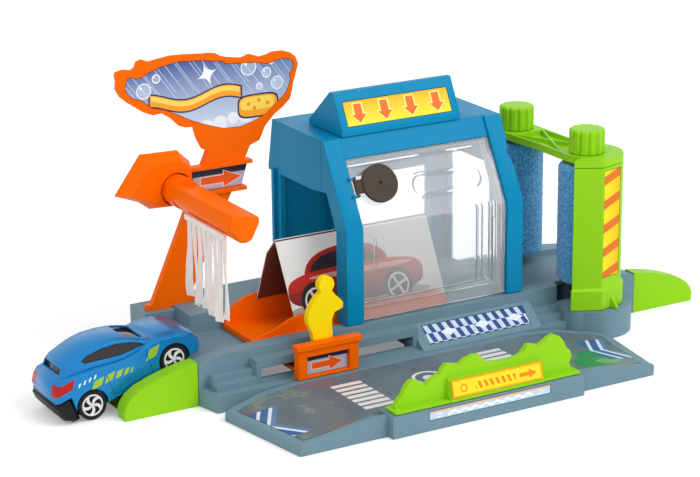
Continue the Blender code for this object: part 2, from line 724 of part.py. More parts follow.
def slab_on(foot, head, span, depth, rise, margins):
    """A plate on a slanted face that runs in (y, z) from foot to head, across the span in X.

    The plate reaches from the depth below the face to the rise above it, and leaves
    margins free at the sides, the foot and the head.
    """
    side, foot_margin, head_margin = margins
    along = (Vector(head) - Vector(foot)).normalized()
    outward = Vector((-along.y, along.x))
    low = Vector(foot) + along * foot_margin
    high = Vector(head) - along * head_margin
    corners = [low - outward * depth, high - outward * depth, high + outward * rise, low + outward * rise]
    return prism([tuple(corner) for corner in corners], "X", (span[0] + side, span[1] - side))


# Road base
def stair(left, length):
    """Steps that rise from the apron to the kerb."""
    treads = [
        box((left, left + length), (STEP_DEPTH * count, KERB_FRONT + OVERRUN),
            (APRON_HEIGHT - OVERRUN, APRON_HEIGHT + STEP_RISE * count))
        for count in (1, 2)
    ]
    return unite(*treads)


def handrail():
    """A curved plate beside the stair."""
    foot = APRON_HEIGHT - OVERRUN
    reach = KERB_FRONT - LEDGE_FRONT
    drop = HANDRAIL_HEIGHT - APRON_HEIGHT
    outline = [(KERB_FRONT + OVERRUN, foot), (KERB_FRONT + OVERRUN, HANDRAIL_HEIGHT)]
    for y, z in arc((0, 0), 1, math.pi / 2, math.pi, 6):
        outline.append((KERB_FRONT + y * reach, APRON_HEIGHT + z * drop))
    outline.append((LEDGE_FRONT, foot))
    left = LEFT_STAIR_X + LEFT_STAIR_LENGTH
    return prism(outline, "X", (left, left + HANDRAIL_THICKNESS))


def panel_plate(depth, rise, gap):
    margins = (PANEL_SIDE_BORDER + gap, PANEL_FOOT_BORDER + gap, PANEL_TOP_BORDER + gap)
    return slab_on((PANEL_FOOT_Y, APRON_HEIGHT), (KERB_FRONT, PANEL_TOP_HEIGHT), (PANEL_LEFT, PANEL_RIGHT),
                   depth, rise, margins)


def panel_wedge():
    outline = [
        (PANEL_FOOT_Y, APRON_HEIGHT - OVERRUN), (PANEL_FOOT_Y, APRON_HEIGHT), (KERB_FRONT, PANEL_TOP_HEIGHT),
        (KERB_FRONT + OVERRUN, PANEL_TOP_HEIGHT), (KERB_FRONT + OVERRUN, APRON_HEIGHT - OVERRUN),
    ]
    wedge = prism(outline, "X", (PANEL_LEFT, PANEL_RIGHT))
    return cut(wedge, panel_plate(LABEL_RECESS, OVERRUN, 0))


def kerb_profile(left, right, height):
    """A kerb's side outline, which drops towards the right end of the road."""
    inner = max(left + OVERRUN, right - ROAD_SLOPE_LENGTH)
    return [(left, 0), (left, height), (inner, height), (right, KERB_END_HEIGHT), (right, 0)]


def entry_kerb_profile(right):
    """The same at the left end of the road."""
    inner = BASE_LEFT + ROAD_SLOPE_LENGTH
    return [(BASE_LEFT, 0), (BASE_LEFT, KERB_END_HEIGHT), (inner, KERB_HEIGHT), (right, KERB_HEIGHT), (right, 0)]


def solid_base():
    deck = unite(
        box((BASE_LEFT, BASE_RIGHT), (KERB_FRONT, BASE_RIGHT_BACK), (0, ROAD_HEIGHT)),
        box((BASE_LEFT, HOUSE_RIGHT), (BASE_RIGHT_BACK - OVERRUN, BASE_BACK), (0, ROAD_HEIGHT)),
    )
    apron_outline = [
        (BASE_LEFT, KERB_FRONT + OVERRUN), (BASE_LEFT, KERB_FRONT), (0, 0), (APRON_LENGTH, 0),
        (APRON_LENGTH, KERB_FRONT + OVERRUN),
    ]
    right_stair_left = PANEL_RIGHT - OVERRUN
    wall_right = HOUSE_LEFT - REAR_FLANGE - SEAT_GAP
    return unite(
        deck,
        prism(entry_kerb_profile(KERB_BREAK_LEFT), "Y", (KERB_FRONT, ROAD_FRONT)),
        prism(kerb_profile(KERB_BREAK_RIGHT, BASE_RIGHT, KERB_HEIGHT), "Y", (KERB_FRONT, ROAD_FRONT)),
        prism(entry_kerb_profile(HOUSE_RIGHT), "Y", (ROAD_BACK, BASE_BACK)),
        box((BACK_WALL_LEFT, wall_right), (ROAD_BACK, BASE_BACK), (0, BACK_WALL_HEIGHT)),
        box((BASE_LEFT, BACK_WALL_LEFT + OVERRUN), (BACK_BLOCK_FRONT, BASE_BACK), (0, BACK_BLOCK_HEIGHT)),
        prism(kerb_profile(HOUSE_RIGHT - OVERRUN, BASE_RIGHT, BACK_KERB_HEIGHT), "Y",
              (BACK_KERB_FRONT, BASE_RIGHT_BACK)),
        prism(apron_outline, "Z", (0, APRON_HEIGHT)),
        box((SLOT_LEFT - OVERRUN, SLOT_RIGHT), (RAIL_DEPTH - RAIL_LIP_DEPTH, RAIL_DEPTH),
            (APRON_HEIGHT - OVERRUN, APRON_HEIGHT + RAIL_LIP_HEIGHT)),
        box((SLOT_LEFT - HANDRAIL_THICKNESS, SLOT_RIGHT), (LEDGE_FRONT, KERB_FRONT + OVERRUN),
            (APRON_HEIGHT, LEDGE_HEIGHT)),
        stair(LEFT_STAIR_X, LEFT_STAIR_LENGTH),
        stair(right_stair_left, APRON_LENGTH - right_stair_left),
        handrail(),
        panel_wedge(),
        prism(circle((CUP_X, CUP_Y), CUP_RADIUS, CUP_SIDES), "Z", (0, CUP_HEIGHT)),
        prism(circle((SIDE_CUP_X, SIDE_CUP_Y), SIDE_CUP_RADIUS, CUP_SIDES), "Z", (0, CUP_HEIGHT)),
        box((APRON_LENGTH - OVERRUN, CUP_X), (SIDE_CUP_Y, KERB_FRONT + OVERRUN), (0, CUP_HEIGHT)),
    )


def road_slope(left_end):
    """The wedge cut away where the road runs down to a ramp."""
    end = BASE_LEFT if left_end else BASE_RIGHT
    inner = BASE_LEFT + ROAD_SLOPE_LENGTH if left_end else BASE_RIGHT - ROAD_SLOPE_LENGTH
    beyond = end - OVERRUN if left_end else end + OVERRUN
    back = ROAD_BACK if left_end else BACK_KERB_FRONT
    top = KERB_HEIGHT + OVERRUN
    outline = [(beyond, ROAD_ENTRY_HEIGHT), (end, ROAD_ENTRY_HEIGHT), (inner, ROAD_HEIGHT), (inner, top),
               (beyond, top)]
    return prism(outline, "Y", (ROAD_FRONT, back))


def base_ribs(spine):
    """Ribs across the underside and, if asked for, one along it."""
    left = BASE_LEFT + BASE_WALL
    count = int((BASE_LENGTH - 2 * BASE_WALL) / BASE_RIB_PITCH)
    low = -2 * OVERRUN
    ribs = []
    for number in range(1, count + 1):
        middle = left + number * BASE_RIB_PITCH
        ribs.append(box((middle - BASE_RIB / 2, middle + BASE_RIB / 2), (-OVERRUN, BASE_BACK), (low, ROAD_HEIGHT)))
    if spine:
        ribs.append(box((BASE_LEFT, BASE_RIGHT), (SLOT_BAY_BACK, SLOT_BAY_BACK + BASE_RIB), (low, ROAD_HEIGHT)))
    return ribs


def base_hollow():
    """The space under the deck, between the ribs."""
    left = BASE_LEFT + BASE_WALL
    right = BASE_RIGHT - BASE_WALL
    roof = ROAD_HEIGHT - BASE_WALL
    low_roof = ROAD_ENTRY_HEIGHT - BASE_WALL
    outline = [
        (left, -OVERRUN), (left, low_roof), (left + ROAD_SLOPE_LENGTH, roof), (right - ROAD_SLOPE_LENGTH, roof),
        (right, low_roof), (right, -OVERRUN),
    ]
    hollow = prism(outline, "Y", (KERB_FRONT + BASE_WALL, BASE_RIGHT_BACK - BASE_WALL))
    return cut(hollow, *base_ribs(True))


def apron_hollow():
    """The space under the apron and its steps."""
    hollow = box((BASE_WALL, APRON_LENGTH - BASE_WALL), (BASE_WALL, RAIL_DEPTH - RAIL_LIP_DEPTH),
                 (-OVERRUN, APRON_HEIGHT - BASE_WALL))
    return cut(hollow, *base_ribs(False))


def house_tabs(gap):
    """The tabs under the house, grown by a gap for their sockets."""
    spans = []
    front = HOUSE_FRONT + TAB_DEPTH / 2
    back = REAR_WALL_BACK - HOUSE_SIDE
    for x in (HOUSE_LEFT + POST_WIDTH / 2, HOUSE_RIGHT - POST_WIDTH / 2):
        spans.append((x, front, front + TAB_DEPTH))
        spans.append((x, back, back + REAR_TAB_DEPTH))
    return [
        box((x - TAB_LENGTH / 2 - gap, x + TAB_LENGTH / 2 + gap), (near - gap, far + gap),
            (KERB_HEIGHT - TAB_DROP - gap, KERB_HEIGHT + OVERRUN))
        for x, near, far in spans
    ]


def tower_socket():
    right = TOWER_LEG_LEFT + TOWER_LEG_WIDTH + TOWER_LEG_LEFT
    return box((-SEAT_GAP, right + SEAT_GAP), (TOWER_FRONT - SEAT_GAP, TOWER_BACK + SEAT_GAP),
               (BACK_BLOCK_HEIGHT - TOWER_SOCKET_DEPTH, BACK_WALL_HEIGHT + OVERRUN))


def roller_places():
    """Each roller's axis and the height of the floor under it."""
    return [((ROLLER_FRONT_X, ROLLER_FRONT_Y), CUP_HEIGHT), ((ROLLER_BACK_X, ROLLER_BACK_Y), BACK_KERB_HEIGHT)]


def build_base(parent, paint):
    base = solid_base()
    cut(base, base_hollow(), apron_hollow(), road_slope(True), road_slope(False))
    slot = (SLOT_LEFT, SLOT_RIGHT - HANDRAIL_THICKNESS)
    deck_foot = ROAD_HEIGHT - BASE_WALL
    cut(base, box(slot, (RAIL_DEPTH, SLOT_BAY_BACK), (-OVERRUN, SLOT_ROOF)))
    cut(base, box(slot, (KERB_FRONT + BASE_WALL, SLOT_BAY_BACK), (SLOT_ROOF - OVERRUN, deck_foot)))
    cut(base, box(slot, (-OVERRUN, RAIL_DEPTH + OVERRUN), (APRON_HEIGHT + RAIL_LIP_HEIGHT, SLOT_ROOF)))
    stem_slot = (STEM_LEFT - TRAVEL_BACK - RUNNING_GAP, STEM_LEFT + STEM_LENGTH + TRAVEL_FORWARD + RUNNING_GAP)
    cut(base, box(stem_slot, (STEM_FRONT - RUNNING_GAP, STEM_FRONT + STEM_DEPTH + RUNNING_GAP),
                  (deck_foot - OVERRUN, ROAD_HEIGHT + OVERRUN)))
    cut(base, box((KERB_BREAK_LEFT, KERB_BREAK_LEFT + DECK_HOLE_LENGTH), (DECK_HOLE_FRONT, DECK_HOLE_BACK),
                  (-OVERRUN, ROAD_HEIGHT + OVERRUN)))
    cup_hollow = rod((CUP_X, CUP_Y), CUP_RADIUS - BASE_WALL, "Z", (-OVERRUN, CUP_HEIGHT - BASE_WALL), CUP_SIDES)
    cut(cup_hollow, *base_ribs(False))
    cut(base, cup_hollow)
    cut(base, box((KERB_BREAK_LEFT, KERB_BREAK_RIGHT), (KERB_FRONT - OVERRUN, DECK_HOLE_FRONT),
                  (CUP_HEIGHT, KERB_HEIGHT + OVERRUN)))
    cut(base, rod((ROLLER_FRONT_X, ROLLER_FRONT_Y), ROLLER_RADIUS + RUNNING_GAP, "Z",
                  (CUP_HEIGHT, KERB_HEIGHT + OVERRUN), CUP_SIDES))
    cut(base, tower_socket(), *house_tabs(SEAT_GAP))
    for place, floor in roller_places():
        cut(base, rod(place, SHAFT_RADIUS + RUNNING_GAP, "Z", (-OVERRUN, floor + OVERRUN)))
    return finish("base_shell", base, paint, parent)


def build_ramp(name, left_end, parent, paint):
    """A ramp with a kerb on its front side, and at the entry on its back side too."""
    end = BASE_LEFT - SEAT_GAP if left_end else BASE_RIGHT + SEAT_GAP
    side = -1 if left_end else 1
    run = side * RAMP_LENGTH
    toe = end + run + side * (ENTRY_TOE_REACH if left_end else EXIT_TOE_REACH)
    kerb = scaled(RAMP_KERB_SHARES, (end, 0), (run, RAMP_HEIGHT))
    slab_outline = [(end, 0), (end, ROAD_ENTRY_HEIGHT), (toe, RAMP_TOE_HEIGHT), (toe, 0)]
    ramp = unite(
        prism(slab_outline, "Y", (ROAD_FRONT - RAMP_WALL, ROAD_BACK + RAMP_WALL)),
        prism(kerb, "Y", (RAMP_FRONT, ROAD_FRONT)),
    )
    if left_end:
        unite(ramp, prism(kerb, "Y", (ROAD_BACK, RAMP_BACK)))
    back = RAMP_BACK if left_end else ROAD_BACK + RAMP_WALL
    wall = side * RAMP_WALL
    hollow_outline = [
        (end + wall, -OVERRUN), (end + wall, ROAD_ENTRY_HEIGHT - 2 * RAMP_WALL),
        (toe - 4 * wall, RAMP_WALL), (toe - 4 * wall, -OVERRUN),
    ]
    middle = (RAMP_FRONT + back) / 2
    cut(ramp, prism(hollow_outline, "Y", (RAMP_FRONT + RAMP_WALL, middle - RAMP_WALL / 2)))
    cut(ramp, prism(hollow_outline, "Y", (middle + RAMP_WALL / 2, back - RAMP_WALL)))
    return finish(name, ramp, paint, parent)


# Forecourt
def yard_plan():
    """The forecourt's outline seen from above, without its front block."""
    left = scaled(YARD_CORNER_SHARES, (YARD_LEFT, YARD_BACK), (YARD_CORNER_LENGTH, -YARD_CORNER_DEPTH))
    right = scaled(reversed(YARD_CORNER_SHARES), (YARD_RIGHT, YARD_BACK),
                   (-YARD_CORNER_LENGTH, -YARD_RIGHT_CORNER_DEPTH))
    tips = [(YARD_RIGHT - YARD_TIP_INSET, YARD_FRONT), (YARD_LEFT + YARD_TIP_INSET, YARD_FRONT)]
    return left + right + tips


def yard_profile(rise, height, foot):
    """The forecourt's front outline: flat in the middle, sloping down to both ends."""
    left = YARD_LEFT - OVERRUN
    right = YARD_RIGHT + OVERRUN
    tip = YARD_TIP_HEIGHT + rise
    top = height + rise
    return [
        (left, foot), (left, tip), (YARD_LEFT, tip), (YARD_LEFT + YARD_WING_LENGTH, top),
        (YARD_RIGHT - YARD_WING_LENGTH, top), (YARD_RIGHT, tip), (right, tip), (right, foot),
    ]


def yard_slab(rise, height, gap, foot):
    slab = prism(inset(yard_plan(), gap), "Z", (foot, YARD_BLOCK_HEIGHT))
    band = (YARD_FRONT - OVERRUN, YARD_BACK + OVERRUN)
    return keep(slab, prism(yard_profile(rise, height, foot - OVERRUN), "Y", band))


def yard_ribs():
    count = int((YARD_LENGTH - 2 * YARD_SKIN) / YARD_RIB_PITCH)
    ribs = []
    for number in range(1, count + 1):
        middle = YARD_LEFT + number * YARD_RIB_PITCH
        ribs.append(box((middle - YARD_RIB / 2, middle + YARD_RIB / 2), (YARD_BLOCK_FRONT, 0),
                        (-2 * OVERRUN, YARD_BLOCK_HEIGHT)))
    middle = (YARD_BACK + YARD_FRONT) / 2
    ribs.append(box((YARD_LEFT, YARD_RIGHT), (middle - YARD_RIB / 2, middle + YARD_RIB / 2),
                    (-2 * OVERRUN, YARD_BLOCK_HEIGHT)))
    return ribs


def above_profile(plan, rise, height):
    """Everything inside a plan that lies above a profile of the forecourt."""
    top = YARD_BLOCK_HEIGHT + OVERRUN
    block = prism(plan, "Z", (0, top))
    band = (YARD_FRONT - 2 * OVERRUN, YARD_BACK + 2 * OVERRUN)
    return cut(block, prism(yard_profile(rise, height, -OVERRUN), "Y", band))


def build_forecourt(parent, paint):
    yard = yard_slab(YARD_KERB_RISE, YARD_RIM_HEIGHT - YARD_KERB_RISE, 0, 0)
    left = YARD_LEFT - OVERRUN / 2
    right = YARD_RIGHT + OVERRUN / 2
    back = YARD_BACK + OVERRUN
    front = YARD_FRONT + YARD_RIM_WIDTH
    behind_rim = [(left, front), (right, front), (right, back), (left, back)]
    cut(yard, above_profile(behind_rim, YARD_KERB_RISE, YARD_HEIGHT))
    cut(yard, above_profile(inset(yard_plan(), YARD_KERB_WIDTH), 0, YARD_HEIGHT))
    block_back = YARD_BLOCK_FRONT + YARD_BLOCK_DEPTH
    unite(yard, box((YARD_BLOCK_LEFT, YARD_BLOCK_RIGHT), (YARD_BLOCK_FRONT, block_back), (0, YARD_BLOCK_HEIGHT)))
    hollow = cut(yard_slab(-YARD_SKIN, YARD_HEIGHT, YARD_SKIN, -OVERRUN), *yard_ribs())
    block_roof = YARD_HEIGHT - YARD_SKIN - YARD_KERB_RISE
    block_hollow = box((YARD_BLOCK_LEFT + YARD_SKIN, YARD_BLOCK_RIGHT - YARD_SKIN),
                       (YARD_BLOCK_FRONT + 2 * YARD_SKIN, block_back), (-OVERRUN, block_roof))
    cut(block_hollow, *yard_ribs())
    cut(yard, hollow, block_hollow, yard_label_pocket())
    return finish("forecourt", yard, paint, parent)


def yard_label_box(y_span, gap):
    head = YARD_BLOCK_HEIGHT - YARD_LABEL_TOP_BORDER
    return box((YARD_BLOCK_LEFT + YARD_LABEL_INSET + gap, YARD_BLOCK_RIGHT - YARD_LABEL_INSET - gap), y_span,
               (head - YARD_LABEL_HEIGHT + gap, head - gap))


def yard_label_pocket():
    return yard_label_box((YARD_BLOCK_FRONT - OVERRUN, YARD_BLOCK_FRONT + LABEL_RECESS), 0)


def build_forecourt_labels(parent, paint, label_paint):
    sheet = prism(inset(yard_plan(), YARD_KERB_WIDTH + SEAT_GAP), "Z", (0, YARD_BLOCK_HEIGHT))
    band = (YARD_FRONT - OVERRUN, YARD_BACK + OVERRUN)
    keep(sheet, prism(yard_profile(SEAT_GAP + LABEL_THICKNESS, YARD_HEIGHT, -OVERRUN), "Y", band))
    cut(sheet, prism(yard_profile(SEAT_GAP, YARD_HEIGHT, -OVERRUN), "Y", band))
    edge = YARD_BLOCK_FRONT + YARD_BLOCK_DEPTH + SEAT_GAP
    cut(sheet, box((YARD_BLOCK_LEFT - SEAT_GAP, YARD_BLOCK_RIGHT + SEAT_GAP), (YARD_BLOCK_FRONT, edge),
                   (0, YARD_BLOCK_HEIGHT)))
    finish("forecourt_sticker", sheet, paint, parent)
    face = YARD_BLOCK_FRONT + LABEL_RECESS - SEAT_GAP
    label = yard_label_box((face - LABEL_THICKNESS, face), SEAT_GAP)
    finish("forecourt_label", label, label_paint, parent)


# Hedge
def build_hedge(parent, paint, label_paint):
    left = YARD_BLOCK_LEFT + (YARD_BLOCK_LENGTH - HEDGE_LENGTH) / 2
    foot = YARD_BLOCK_HEIGHT + SEAT_GAP
    strip_top = foot + HEDGE_STRIP_HEIGHT
    front = YARD_BLOCK_FRONT + HEDGE_STRIP_FRONT
    back = YARD_BLOCK_FRONT + HEDGE_SET_BACK
    strip = box((left, left + HEDGE_LENGTH), (front, front + HEDGE_STRIP_DEPTH), (foot, strip_top))
    outline = scaled(HEDGE_OUTLINE_SHARES, (left, strip_top - HEDGE_STRIP_HEIGHT / 2), (HEDGE_LENGTH, HEDGE_RISE))
    leaves = prism(outline, "Y", (back, back + HEDGE_THICKNESS))
    face_foot = (back - SIGN_FOOT_DEPTH, strip_top)
    face_head = (back - SIGN_HEAD_DEPTH, strip_top + SIGN_RISE)
    middle = back + HEDGE_THICKNESS / 2
    sign_outline = [(face_foot[0], foot), face_foot, face_head, (middle, face_head[1]), (middle, foot)]
    span = (left + HEDGE_LENGTH * SIGN_LEFT_SHARE, left + HEDGE_LENGTH * SIGN_LEFT_SHARE + SIGN_LENGTH)
    sign = prism(sign_outline, "X", span)
    finish("hedge", unite(strip, leaves, sign), paint, parent)
    margins = (SIGN_BORDER, SIGN_BORDER, SIGN_BORDER)
    label = slab_on(face_foot, face_head, span, -SEAT_GAP, SEAT_GAP + LABEL_THICKNESS, margins)
    finish("hedge_label", label, label_paint, parent)


# House
def front_line(setback, foot):
    """The house front seen from the side: upright, then slanting back to the eaves."""
    rise = HOUSE_EAVES_HEIGHT - HOUSE_KINK_HEIGHT
    slope = HOUSE_EAVES_SETBACK / rise
    bend = HOUSE_KINK_HEIGHT - setback * math.tan(math.atan(slope) / 2)
    upright = HOUSE_FRONT + setback
    return [(upright, foot), (upright, bend), (upright + (HOUSE_EAVES_HEIGHT - bend) * slope, HOUSE_EAVES_HEIGHT)]


def slant_y(height, setback):
    """How far back the slanted front lies at a height."""
    bend, eaves = front_line(setback, 0)[1:]
    return bend[0] + (height - bend[1]) * (eaves[0] - bend[0]) / (eaves[1] - bend[1])


def house_outside():
    foot = KERB_HEIGHT + SEAT_GAP
    back = [
        (HOUSE_ROOF_BACK, HOUSE_EAVES_HEIGHT), (HOUSE_SKIRT_BACK, HOUSE_SKIRT_HEIGHT + HOUSE_SIDE),
        (HOUSE_SKIRT_BACK, HOUSE_SKIRT_HEIGHT), (REAR_WALL_BACK, HOUSE_SKIRT_HEIGHT), (REAR_WALL_BACK, foot),
    ]
    return prism(front_line(0, foot) + back, "X", (HOUSE_LEFT, HOUSE_RIGHT))


def house_tunnel():
    foot = KERB_HEIGHT - OVERRUN
    front = front_line(POST_DEPTH, foot)[:2]
    top = HOUSE_SKIRT_HEIGHT + HOUSE_SKIRT_FRONT_RISE
    outline = front + [
        (slant_y(top, POST_DEPTH), top), (HOUSE_SEAM_Y + POST_DEPTH, HOUSE_SKIRT_HEIGHT),
        (REAR_WALL_BACK + OVERRUN, HOUSE_SKIRT_HEIGHT), (REAR_WALL_BACK + OVERRUN, foot),
    ]
    return prism(outline, "X", (HOUSE_LEFT - OVERRUN, HOUSE_RIGHT + OVERRUN))


def roof_hollow(x_span, front_depth):
    foot = HOUSE_SKIRT_HEIGHT - OVERRUN
    top = HOUSE_EAVES_HEIGHT - HOUSE_SKIN
    outline = [
        (slant_y(foot, front_depth), foot), (slant_y(top, front_depth), top), (HOUSE_ROOF_BACK - HOUSE_SIDE, top),
        (HOUSE_SKIRT_BACK - HOUSE_SIDE, HOUSE_SKIRT_HEIGHT + HOUSE_SIDE), (HOUSE_SKIRT_BACK - HOUSE_SIDE, foot),
    ]
    return prism(outline, "X", x_span)


def window_opening():
    """The opening between the posts, up to the header's foot."""
    foot = KERB_HEIGHT - OVERRUN
    deep = HOUSE_FRONT + POST_DEPTH + OVERRUN
    header = HEADER_FOOT_HEIGHT
    outline = [
        (HOUSE_FRONT - OVERRUN, foot), (HOUSE_FRONT - OVERRUN, header), (slant_y(header, POST_DEPTH) + OVERRUN, header),
        (deep + OVERRUN, HOUSE_KINK_HEIGHT), (deep, foot),
    ]
    return prism(outline, "X", (HOUSE_LEFT + POST_WIDTH, HOUSE_RIGHT - POST_WIDTH))


def header_setback():
    top = HOUSE_EAVES_HEIGHT + OVERRUN
    foot = HEADER_FOOT_HEIGHT - OVERRUN
    outline = [
        (slant_y(foot, HEADER_SETBACK), foot), (slant_y(top, HEADER_SETBACK), top), (HOUSE_FRONT, top),
        (HOUSE_FRONT, foot),
    ]
    return prism(outline, "X", (HOUSE_LEFT + POST_WIDTH, HOUSE_RIGHT - POST_WIDTH))


def rear_wall():
    foot = KERB_HEIGHT + SEAT_GAP
    head = HOUSE_EAVES_HEIGHT - HOUSE_SKIN / 2
    front = REAR_WALL_BACK - HOUSE_SIDE
    wall = box((HOUSE_LEFT - REAR_FLANGE, HOUSE_RIGHT + REAR_FLANGE), (front, REAR_WALL_BACK),
               (foot, HOUSE_SKIRT_HEIGHT + OVERRUN))
    unite(wall, box((HOUSE_LEFT + HOUSE_SIDE / 2, HOUSE_RIGHT - HOUSE_SIDE / 2), (front, REAR_WALL_BACK),
                    (HOUSE_SKIRT_HEIGHT, head)))
    rib_places = (
        HOUSE_LEFT, HOUSE_LEFT + REAR_PILLAR_LEFT - REAR_RIB_WIDTH, HOUSE_RIGHT - REAR_PILLAR_RIGHT,
        HOUSE_RIGHT - REAR_RIB_WIDTH,
    )
    for x in rib_places:
        unite(wall, box((x, x + REAR_RIB_WIDTH), (front - REAR_RIB_DEPTH, front + HOUSE_SIDE / 2),
                        (foot, HOUSE_SKIRT_HEIGHT + OVERRUN)))
    opening = box((HOUSE_LEFT + REAR_PILLAR_LEFT, HOUSE_RIGHT - REAR_PILLAR_RIGHT),
                  (front - REAR_RIB_DEPTH - OVERRUN, REAR_WALL_BACK + OVERRUN),
                  (foot - OVERRUN, foot + REAR_OPENING_HEIGHT))
    return cut(wall, opening)


def post_notch():
    """A shallow notch in the right post's outer edge."""
    y = slant_y(NOTCH_HEIGHT, 0)
    outline = [
        (HOUSE_RIGHT + OVERRUN, NOTCH_HEIGHT + NOTCH_LENGTH), (HOUSE_RIGHT, NOTCH_HEIGHT + NOTCH_LENGTH),
        (HOUSE_RIGHT - NOTCH_DEPTH, NOTCH_HEIGHT), (HOUSE_RIGHT, NOTCH_HEIGHT - NOTCH_LENGTH),
        (HOUSE_RIGHT + OVERRUN, NOTCH_HEIGHT - NOTCH_LENGTH),
    ]
    return prism(outline, "Y", (y - POST_DEPTH, y + POST_DEPTH))


def cap_lugs():
    """Two small lugs on the left post that hold the filler cap's pin."""
    half = CAP_STRAP_WIDTH / 2 + SEAT_GAP
    lugs = []
    for side in (-1, 1):
        near = CAP_ALONG_SLANT + side * half
        span = sorted((near, near + side * CAP_LUG))
        lug = box((HOUSE_LEFT + POST_WIDTH - OVERRUN, CAP_PIVOT_X + CAP_BARREL_RADIUS), span,
                  (-CAP_LUG, CAP_STAND_OFF + CAP_STRAP_THICKNESS))
        hole = sorted((near - side * OVERRUN, near + side * (CAP_LUG + OVERRUN)))
        cut(lug, rod((CAP_PIVOT_X, CAP_PIVOT_RISE), CAP_PIN_RADIUS + SEAT_GAP, "Y", hole, PIN_SIDES))
        lugs.append(move(lug, slant_frame()))
    return lugs


def build_house(parent, paint):
    house = house_outside()
    cut(house, house_tunnel(), window_opening())
    cut(house, roof_hollow((HOUSE_LEFT + HOUSE_SIDE, HOUSE_RIGHT - HOUSE_SIDE), POST_DEPTH))
    between = (HOUSE_LEFT + POST_WIDTH, HOUSE_RIGHT - POST_WIDTH)
    cut(house, roof_hollow(between, HEADER_SETBACK + HOUSE_SIDE), header_setback())
    unite(house, rear_wall(), *house_tabs(0))
    unite(house, *cap_lugs())
    cut(house, post_notch())
    rear = copy_of(house)
    far = HOUSE_EAVES_HEIGHT + OVERRUN
    sides = (HOUSE_LEFT - 2 * OVERRUN, HOUSE_RIGHT + 2 * OVERRUN)
    keep(house, box(sides, (0, HOUSE_SEAM_Y - SEAT_GAP / 2), (0, far)))
    keep(rear, box(sides, (HOUSE_SEAM_Y + SEAT_GAP / 2, HOUSE_SKIRT_BACK + OVERRUN), (0, far)))
    finish("house_front", house, paint, parent)
    finish("house_rear", rear, paint, parent)


# Sign box on the roof
def hood_outline():
    ridge = HOOD_FOOT + HOOD_RIDGE_RISE
    lip = HOOD_FOOT + HOOD_LIP_HEIGHT
    return [
        (HOOD_FRONT, HOOD_FOOT), (HOOD_FRONT, lip), (HOOD_RIDGE_Y - HOOD_RIDGE_WIDTH / 2, ridge),
        (HOOD_RIDGE_Y + HOOD_RIDGE_WIDTH / 2, ridge), (HOOD_BACK, lip), (HOOD_BACK, HOOD_FOOT),
    ]


def hood_plate(depth, rise, gap):
    face = hood_outline()[1:3]
    margins = (HOOD_SIDE_BORDER + gap, HOOD_FOOT_BORDER + gap, HOOD_TOP_BORDER + gap)
    return slab_on(face[0], face[1], (HOOD_LEFT, HOOD_LEFT + HOOD_LENGTH), depth, rise, margins)


def build_hood(parent, paint, label_paint):
    right = HOOD_LEFT + HOOD_LENGTH
    hood = prism(hood_outline(), "X", (HOOD_LEFT, right))
    inside = inset(hood_outline(), HOOD_WALL)
    inside[0] = (inside[0][0], HOOD_FOOT - OVERRUN)
    inside[-1] = (inside[-1][0], HOOD_FOOT - OVERRUN)
    cut(hood, prism(inside, "X", (HOOD_LEFT + HOOD_WALL, right - HOOD_WALL)), hood_plate(LABEL_RECESS, OVERRUN, 0))
    finish("roof_hood", hood, paint, parent)
    finish("roof_label", label_in(hood_plate), label_paint, parent)


def label_in(plate):
    """A label on the floor of the recess that the same plate function cuts."""
    floor = LABEL_RECESS - SEAT_GAP
    return plate(floor, LABEL_THICKNESS - floor, SEAT_GAP)


# Clear window between the posts
def window_band(front_setback, back_setback, foot, head):
    near = front_line(front_setback, foot)[:2] + [(slant_y(head, front_setback), head)]
    far = front_line(back_setback, foot)[:2] + [(slant_y(head, back_setback), head)]
    return near + list(reversed(far))


def build_window(parent, paint):
    foot = KERB_HEIGHT + WINDOW_FOOT_GAP
    head = HEADER_FOOT_HEIGHT - SEAT_GAP
    left = HOUSE_LEFT + POST_WIDTH + SEAT_GAP
    right = HOUSE_RIGHT - POST_WIDTH - SEAT_GAP
    pane = prism(window_band(WINDOW_SETBACK, WINDOW_SETBACK + WINDOW_FLANGE, foot, head), "X", (left, right))
    inside = window_band(WINDOW_SETBACK + WINDOW_THICKNESS, WINDOW_SETBACK + 2 * WINDOW_FLANGE, foot - OVERRUN,
                         head - WINDOW_THICKNESS)
    cut(pane, prism(inside, "X", (left + WINDOW_THICKNESS, right - WINDOW_THICKNESS)))
    face = HOUSE_FRONT + WINDOW_SETBACK
    depth = (face - WINDOW_RIB_RISE, face + WINDOW_THICKNESS / 2)
    low = foot + WINDOW_FRAME_INSET
    near = left + WINDOW_FRAME_INSET
    far = right - WINDOW_FRAME_INSET
    top = HOUSE_KINK_HEIGHT - WINDOW_FRAME_INSET
    rib = WINDOW_RIB_WIDTH
    unite(pane, box((near, far), depth, (low, low + rib)), box((near, near + rib), depth, (low, top)),
          box((far - rib, far), depth, (low, top)))
    bore = rod((CAP_CENTRE_X, CAP_ALONG_SLANT), CAP_PLUG_RADIUS + RUNNING_GAP, "Z", (-2 * WINDOW_FLANGE, CAP_TOP), CAP_SIDES)
    cut(pane, move(bore, slant_frame()))
    finish("water_window", pane, paint, parent)


# Filler cap, worked flat: X across, Y up the slant, Z out of the window
def slant_frame():
    """Turns flat work into the slanted front. Its zero is where the slant starts."""
    slant = Vector((0, HOUSE_EAVES_SETBACK, HOUSE_EAVES_HEIGHT - HOUSE_KINK_HEIGHT)).normalized()
    across = Vector((1, 0, 0))
    turn = Matrix((across, slant, across.cross(slant))).transposed().to_4x4()
    return Matrix.Translation((0, HOUSE_FRONT, HOUSE_KINK_HEIGHT)) @ turn


